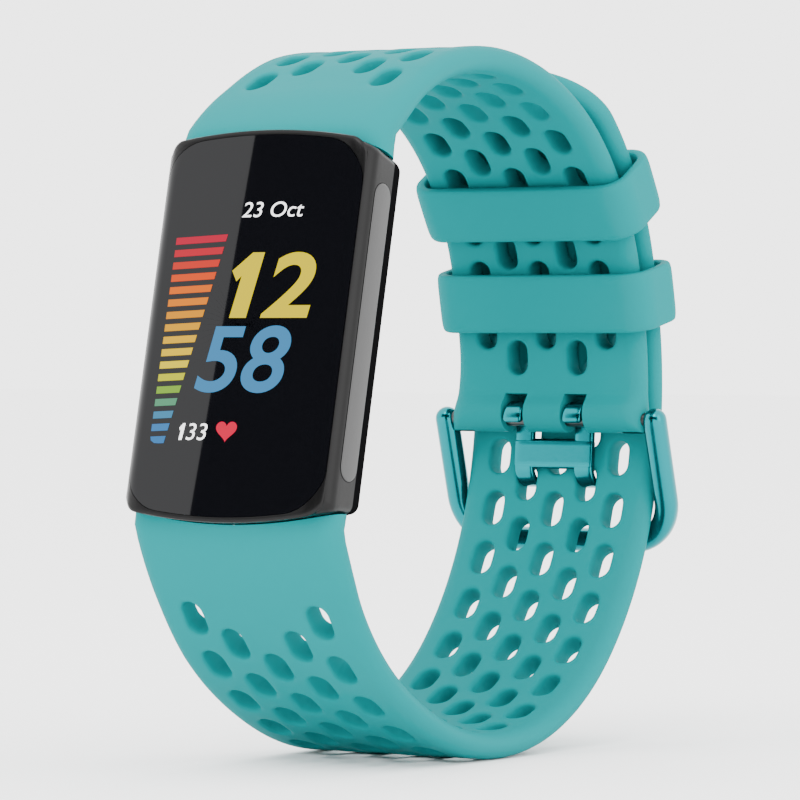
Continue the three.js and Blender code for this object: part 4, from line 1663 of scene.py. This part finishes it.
class Fittings:
    """Connectors and release latches at each end of the tracker."""

    LIP = BlockSizes(7.7, (6.0, 7.0), (21.0, 21.4), 0.15)
    TONGUE = BlockSizes(7.7, (3.4, 4.4), (16.5, 17.7), 0.4)
    BUTTON = BlockSizes(3.0, (4.9, 7.5), (18.7, 19.9), 0.3, 0.3)
    NOSE = BlockSizes(1.2, (4.9, 5.6), (16.8, 19.0), 0.2)
    CHEEK_HALF_WIDTH = 2.2
    CHEEK_HALF_LENGTH = 1.65
    CHEEK_X = 5.5
    CHEEK_Z = 19.75
    ENDS = {"upper": (1, Body.LATCH_UPPER), "lower": (-1, Body.LATCH_LOWER)}

    def __init__(self, materials: dict) -> None:
        """Keeps the materials.

        Args:
            materials: Material by finish name.
        """
        self.materials = materials

    def _block(self, name: str, size: BlockSizes, sign: int) -> bpy.types.Object:
        """Makes a block with rounded corners and a rounded back edge.

        Args:
            name: Name of the piece.
            size: Its BlockSizes.
            sign: 1 for the top end, -1 for the bottom.

        Returns:
            The object.
        """
        middle = sign * sum(size.along) / 2
        half_z = (size.along[1] - size.along[0]) / 2
        front, back = size.depth
        levels = [(outline(size.half_x, half_z, size.radius, middle=middle, side=3), front)]
        for angle in np.linspace(0, math.pi / 2, 5):
            draw = size.edge * (1 - math.cos(angle))
            ring = outline(size.half_x - draw, half_z - draw, size.radius, middle=middle, side=3)
            levels.append((ring, back - size.edge + size.edge * math.sin(angle)))
        return stacked(name, levels)

    def build(self) -> None:
        """Makes both connectors and both latches."""
        for end, (sign, body) in self.ENDS.items():
            plastic, steel = self.materials[TEAL_PLASTIC.name], self.materials[STEEL.name]
            lip = self._block(f"{end}_connector_lip", self.LIP, sign)
            place(lip, Body.BAND, TEAL_PLASTIC.slot, plastic)
            tongue = self._block(f"{end}_connector_tongue", self.TONGUE, sign)
            place(tongue, Body.BAND, TEAL_PLASTIC.slot, plastic, f"{end}_connector")
            for hand in (-1, 1):
                cheek = self._cheek(f"{end}_connector_cheek_{2 + hand}", hand, sign)
                place(cheek, Body.BAND, TEAL_PLASTIC.slot, plastic)
            button = self._block(f"{end}_latch_button", self.BUTTON, sign)
            place(button, body, STEEL.slot, steel, f"{end}_latch")
            nose = self._block(f"{end}_latch_nose", self.NOSE, sign)
            place(nose, body, STEEL.slot, steel)

    def _cheek(self, name: str, hand: int, sign: int) -> bpy.types.Object:
        """Makes the part of a connector beside its latch.

        Args:
            name: Name of the piece.
            hand: 1 for the side at positive X, -1 for the other.
            sign: 1 for the top end, -1 for the bottom.

        Returns:
            The object.
        """
        levels = []
        for draw, depth in ((0.0, 4.05), (0.0, 6.82), (0.05, 6.95), (0.18, 7.0)):
            half_x, half_z = self.CHEEK_HALF_WIDTH - draw, self.CHEEK_HALF_LENGTH - draw
            ring = outline(half_x, half_z, 0.4, middle=sign * self.CHEEK_Z, side=3)
            ring[:, 0] += hand * self.CHEEK_X
            levels.append((ring, depth))
        return stacked(name, levels)


class Insides:
    """CAD pieces that stay as they are: the sealed contents of the tracker and the small springs."""

    SPRING_END = 20.9
    SPRING_DEPTH = 5.9
    SPRING_KEEP = 0.45  # share of its height that a pressed spring keeps
    FINISH = {
        "glass_gasket": BLACK_RUBBER,
        "display_panel": BLACK_PLASTIC,
        "display_flex": FLEX,
        "chassis": BLACK_PLASTIC,
        "battery": FOIL,
        "main_board": BOARD,
        "vibration_motor": STEEL,
        "back_seal": BLACK_RUBBER,
        "sensor_board": BOARD,
        "heart_rate_led": GOLD,
        "photodiode_left": BLACK_PLASTIC,
        "photodiode_right": BLACK_PLASTIC,
        "upper_latch_spring": STEEL,
        "lower_latch_spring": STEEL,
    }

    def build(self, materials: dict) -> None:
        """Gives each piece its material, and gives each spring a mesh of its own.

        Args:
            materials: Material by finish name.
        """
        for name, finish in self.FINISH.items():
            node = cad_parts[name]
            node.data.materials.clear()
            node.data.materials.append(materials[finish.name])
            log.info("%s: kept from the frame", name)
        for end, (sign, _) in Fittings.ENDS.items():
            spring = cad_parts[f"{end}_latch_spring"]
            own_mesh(spring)


# ---------------------------------------------------------------- studio


@dataclass(frozen=True)
class CameraSizes:
    """Where the camera stands: degrees, and millimetres from the middle of the loop."""

    azimuth: float = 32.71
    elevation: float = 0.52
    roll: float = 0.20
    distance: float = 433.66
    lens: float = 204.46
    shift_y: float = 0.0007


class Studio:
    """Floor, soft lights, reflection card and camera."""

    WORLD_STRENGTH = 3.6
    FLOOR_REACH = 4000.0
    FLOOR_Z = -0.02
    CARD_REACH = 60.0  # how far up and down the screen's plane the card is laid out
    CARD_EDGE = (0.77, -5.21)  # x of the card's edge at the top and at the foot

    def __init__(self, effects: Effects, sizes: CameraSizes = CameraSizes()) -> None:
        """Works out where the camera stands.

        Args:
            effects: The Effects that make materials.
            sizes: The CameraSizes.
        """
        self.effects = effects
        self.sizes = sizes
        a, e = math.radians(sizes.azimuth), math.radians(sizes.elevation)
        self.forward = np.array([-math.sin(a) * math.cos(e), math.cos(a) * math.cos(e), -math.sin(e)])
        self.middle = LAYOUT.from_loop([0.0, 0.0, 0.0])
        self.eye = self.middle - self.forward * sizes.distance

    def build(self) -> None:
        """Makes the whole set."""
        self._world()
        self._floor()
        self._lights()
        self._card()
        self._camera()

    def _world(self) -> None:
        """Lights the set evenly from all round."""
        world = bpy.data.worlds.new("studio")
        world.use_nodes = True
        backdrop = world.node_tree.nodes["Background"]
        backdrop.inputs["Color"].default_value = (1.0, 1.0, 1.0, 1.0)
        backdrop.inputs["Strength"].default_value = self.WORLD_STRENGTH
        bpy.context.scene.world = world

    def _floor(self) -> None:
        """Lays a plain pale floor."""
        surface = Surface()
        square = [[-1, -1], [1, -1], [1, 1], [-1, 1]]
        ground = np.column_stack([np.array(square) * self.FLOOR_REACH, np.full(4, self.FLOOR_Z)])
        surface.add(ground, [[0, 1, 2, 3]])
        floor = surface.build("floor")
        floor.data.materials.append(self.effects.material(FLOOR))
        floor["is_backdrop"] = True

    def _lamp(self, name: str, place_at: tuple, size: tuple, power: float) -> None:
        """Hangs a soft rectangular light.

        Args:
            name: Name of the light.
            place_at: Its place in metres.
            size: (width, height) in metres.
            power: Its power in watts.
        """
        data = bpy.data.lights.new(name, "AREA")
        data.shape = "RECTANGLE"
        data.size, data.size_y = size
        data.energy = power
        lamp = bpy.data.objects.new(name, data)
        toward = Vector(self.middle * MM) - Vector(place_at)
        lamp.location = place_at
        lamp.rotation_euler = toward.to_track_quat("-Z", "Y").to_euler()
        bpy.context.scene.collection.objects.link(lamp)

    def _lights(self) -> None:
        """Hangs a key light above the front and a fill on the right."""
        self._lamp("key", (0.05, -0.6, 0.75), (0.6, 0.4), 4.0)
        self._lamp("fill", (0.6, -0.1, 0.3), (0.4, 0.6), 1.2)

    def _mirrored(self, x: float, z: float, tilt: float = 0.0, away: float = 500.0) -> np.ndarray:
        """Follows the sight line that the glass throws back.

        Args:
            x: Place across the screen, in millimetres.
            z: Place up the screen, in millimetres.
            tilt: How far the glass there turns to the side, in radians.
            away: Distance from the glass, in millimetres.

        Returns:
            The point that is seen in the glass there.
        """
        facing = math.cos(tilt)
        normal = np.array([math.sin(tilt), -math.cos(LAYOUT.lean) * facing, math.sin(LAYOUT.lean) * facing])
        point = LAYOUT.from_tracker([x, 0.0, z])
        ray = (point - self.eye) / np.linalg.norm(point - self.eye)
        back = ray - 2 * (ray @ normal) * normal
        return point + back * away

    def _card(self) -> None:
        """Stands a dark card where the right part of the glass reflects it."""
        case = CaseSizes()
        reach = self.CARD_REACH
        top, foot = self.CARD_EDGE
        columns = [[self._mirrored(top, reach), self._mirrored(foot, -reach)]]
        for tilt in np.linspace(0.0, case.glass_angle + 0.05, 5):
            x = case.half_width - case.front_radius * (1 - math.sin(tilt))
            columns.append([self._mirrored(x, reach, tilt), self._mirrored(x, -reach, tilt)])
        surface = Surface()
        surface.grid(np.array(columns))
        card = surface.build("reflection_card")
        card.data.materials.append(self.effects.material(CARD))
        card.visible_camera = False
        card.visible_diffuse = False
        card.visible_shadow = False
        card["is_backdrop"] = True

    def _camera(self) -> None:
        """Sets the camera up."""
        size = self.sizes
        forward = self.forward
        right = np.cross(forward, [0.0, 0.0, 1.0])
        right /= np.linalg.norm(right)
        up = np.cross(right, forward)
        roll = math.radians(size.roll)
        side = right * math.cos(roll) + up * math.sin(roll)
        top = up * math.cos(roll) - right * math.sin(roll)
        data = bpy.data.cameras.new("camera")
        data.lens = size.lens
        data.sensor_width = 36.0
        data.shift_y = size.shift_y
        data.clip_start = 0.01
        camera = bpy.data.objects.new("camera", data)
        turn = Matrix([[side[k], top[k], -forward[k]] for k in range(3)])
        camera.matrix_world = Matrix.Translation(self.eye * MM) @ turn.to_4x4()
        bpy.context.scene.collection.objects.link(camera)
        bpy.context.scene.camera = camera


def corners() -> list:
    """Reads the shown object's lowest and highest corners.

    Returns:
        Two lists in metres.
    """
    return [[round(value, 6) for value in corner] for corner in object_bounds()]


def main() -> None:
    """Builds the whole object and its set."""
    logging.basicConfig(level=logging.INFO, format="%(name)s %(message)s")
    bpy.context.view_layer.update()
    effects = Effects()
    materials = {finish.name: effects.material(finish) for finish in FINISHES}
    Tracker(materials, effects).build()
    Strap("lower_strap", LOWER_PATH, StrapEnd.TAIL).build(materials[SILICONE.name])
    Strap("upper_strap", UPPER_PATH, StrapEnd.ROLL).build(materials[SILICONE.name])
    Keepers().build(materials[SILICONE.name])
    Buckle(materials).build()
    Fittings(materials).build()
    Insides().build(materials)
    Studio(effects).build()


if __name__ == "__main__":
    main()
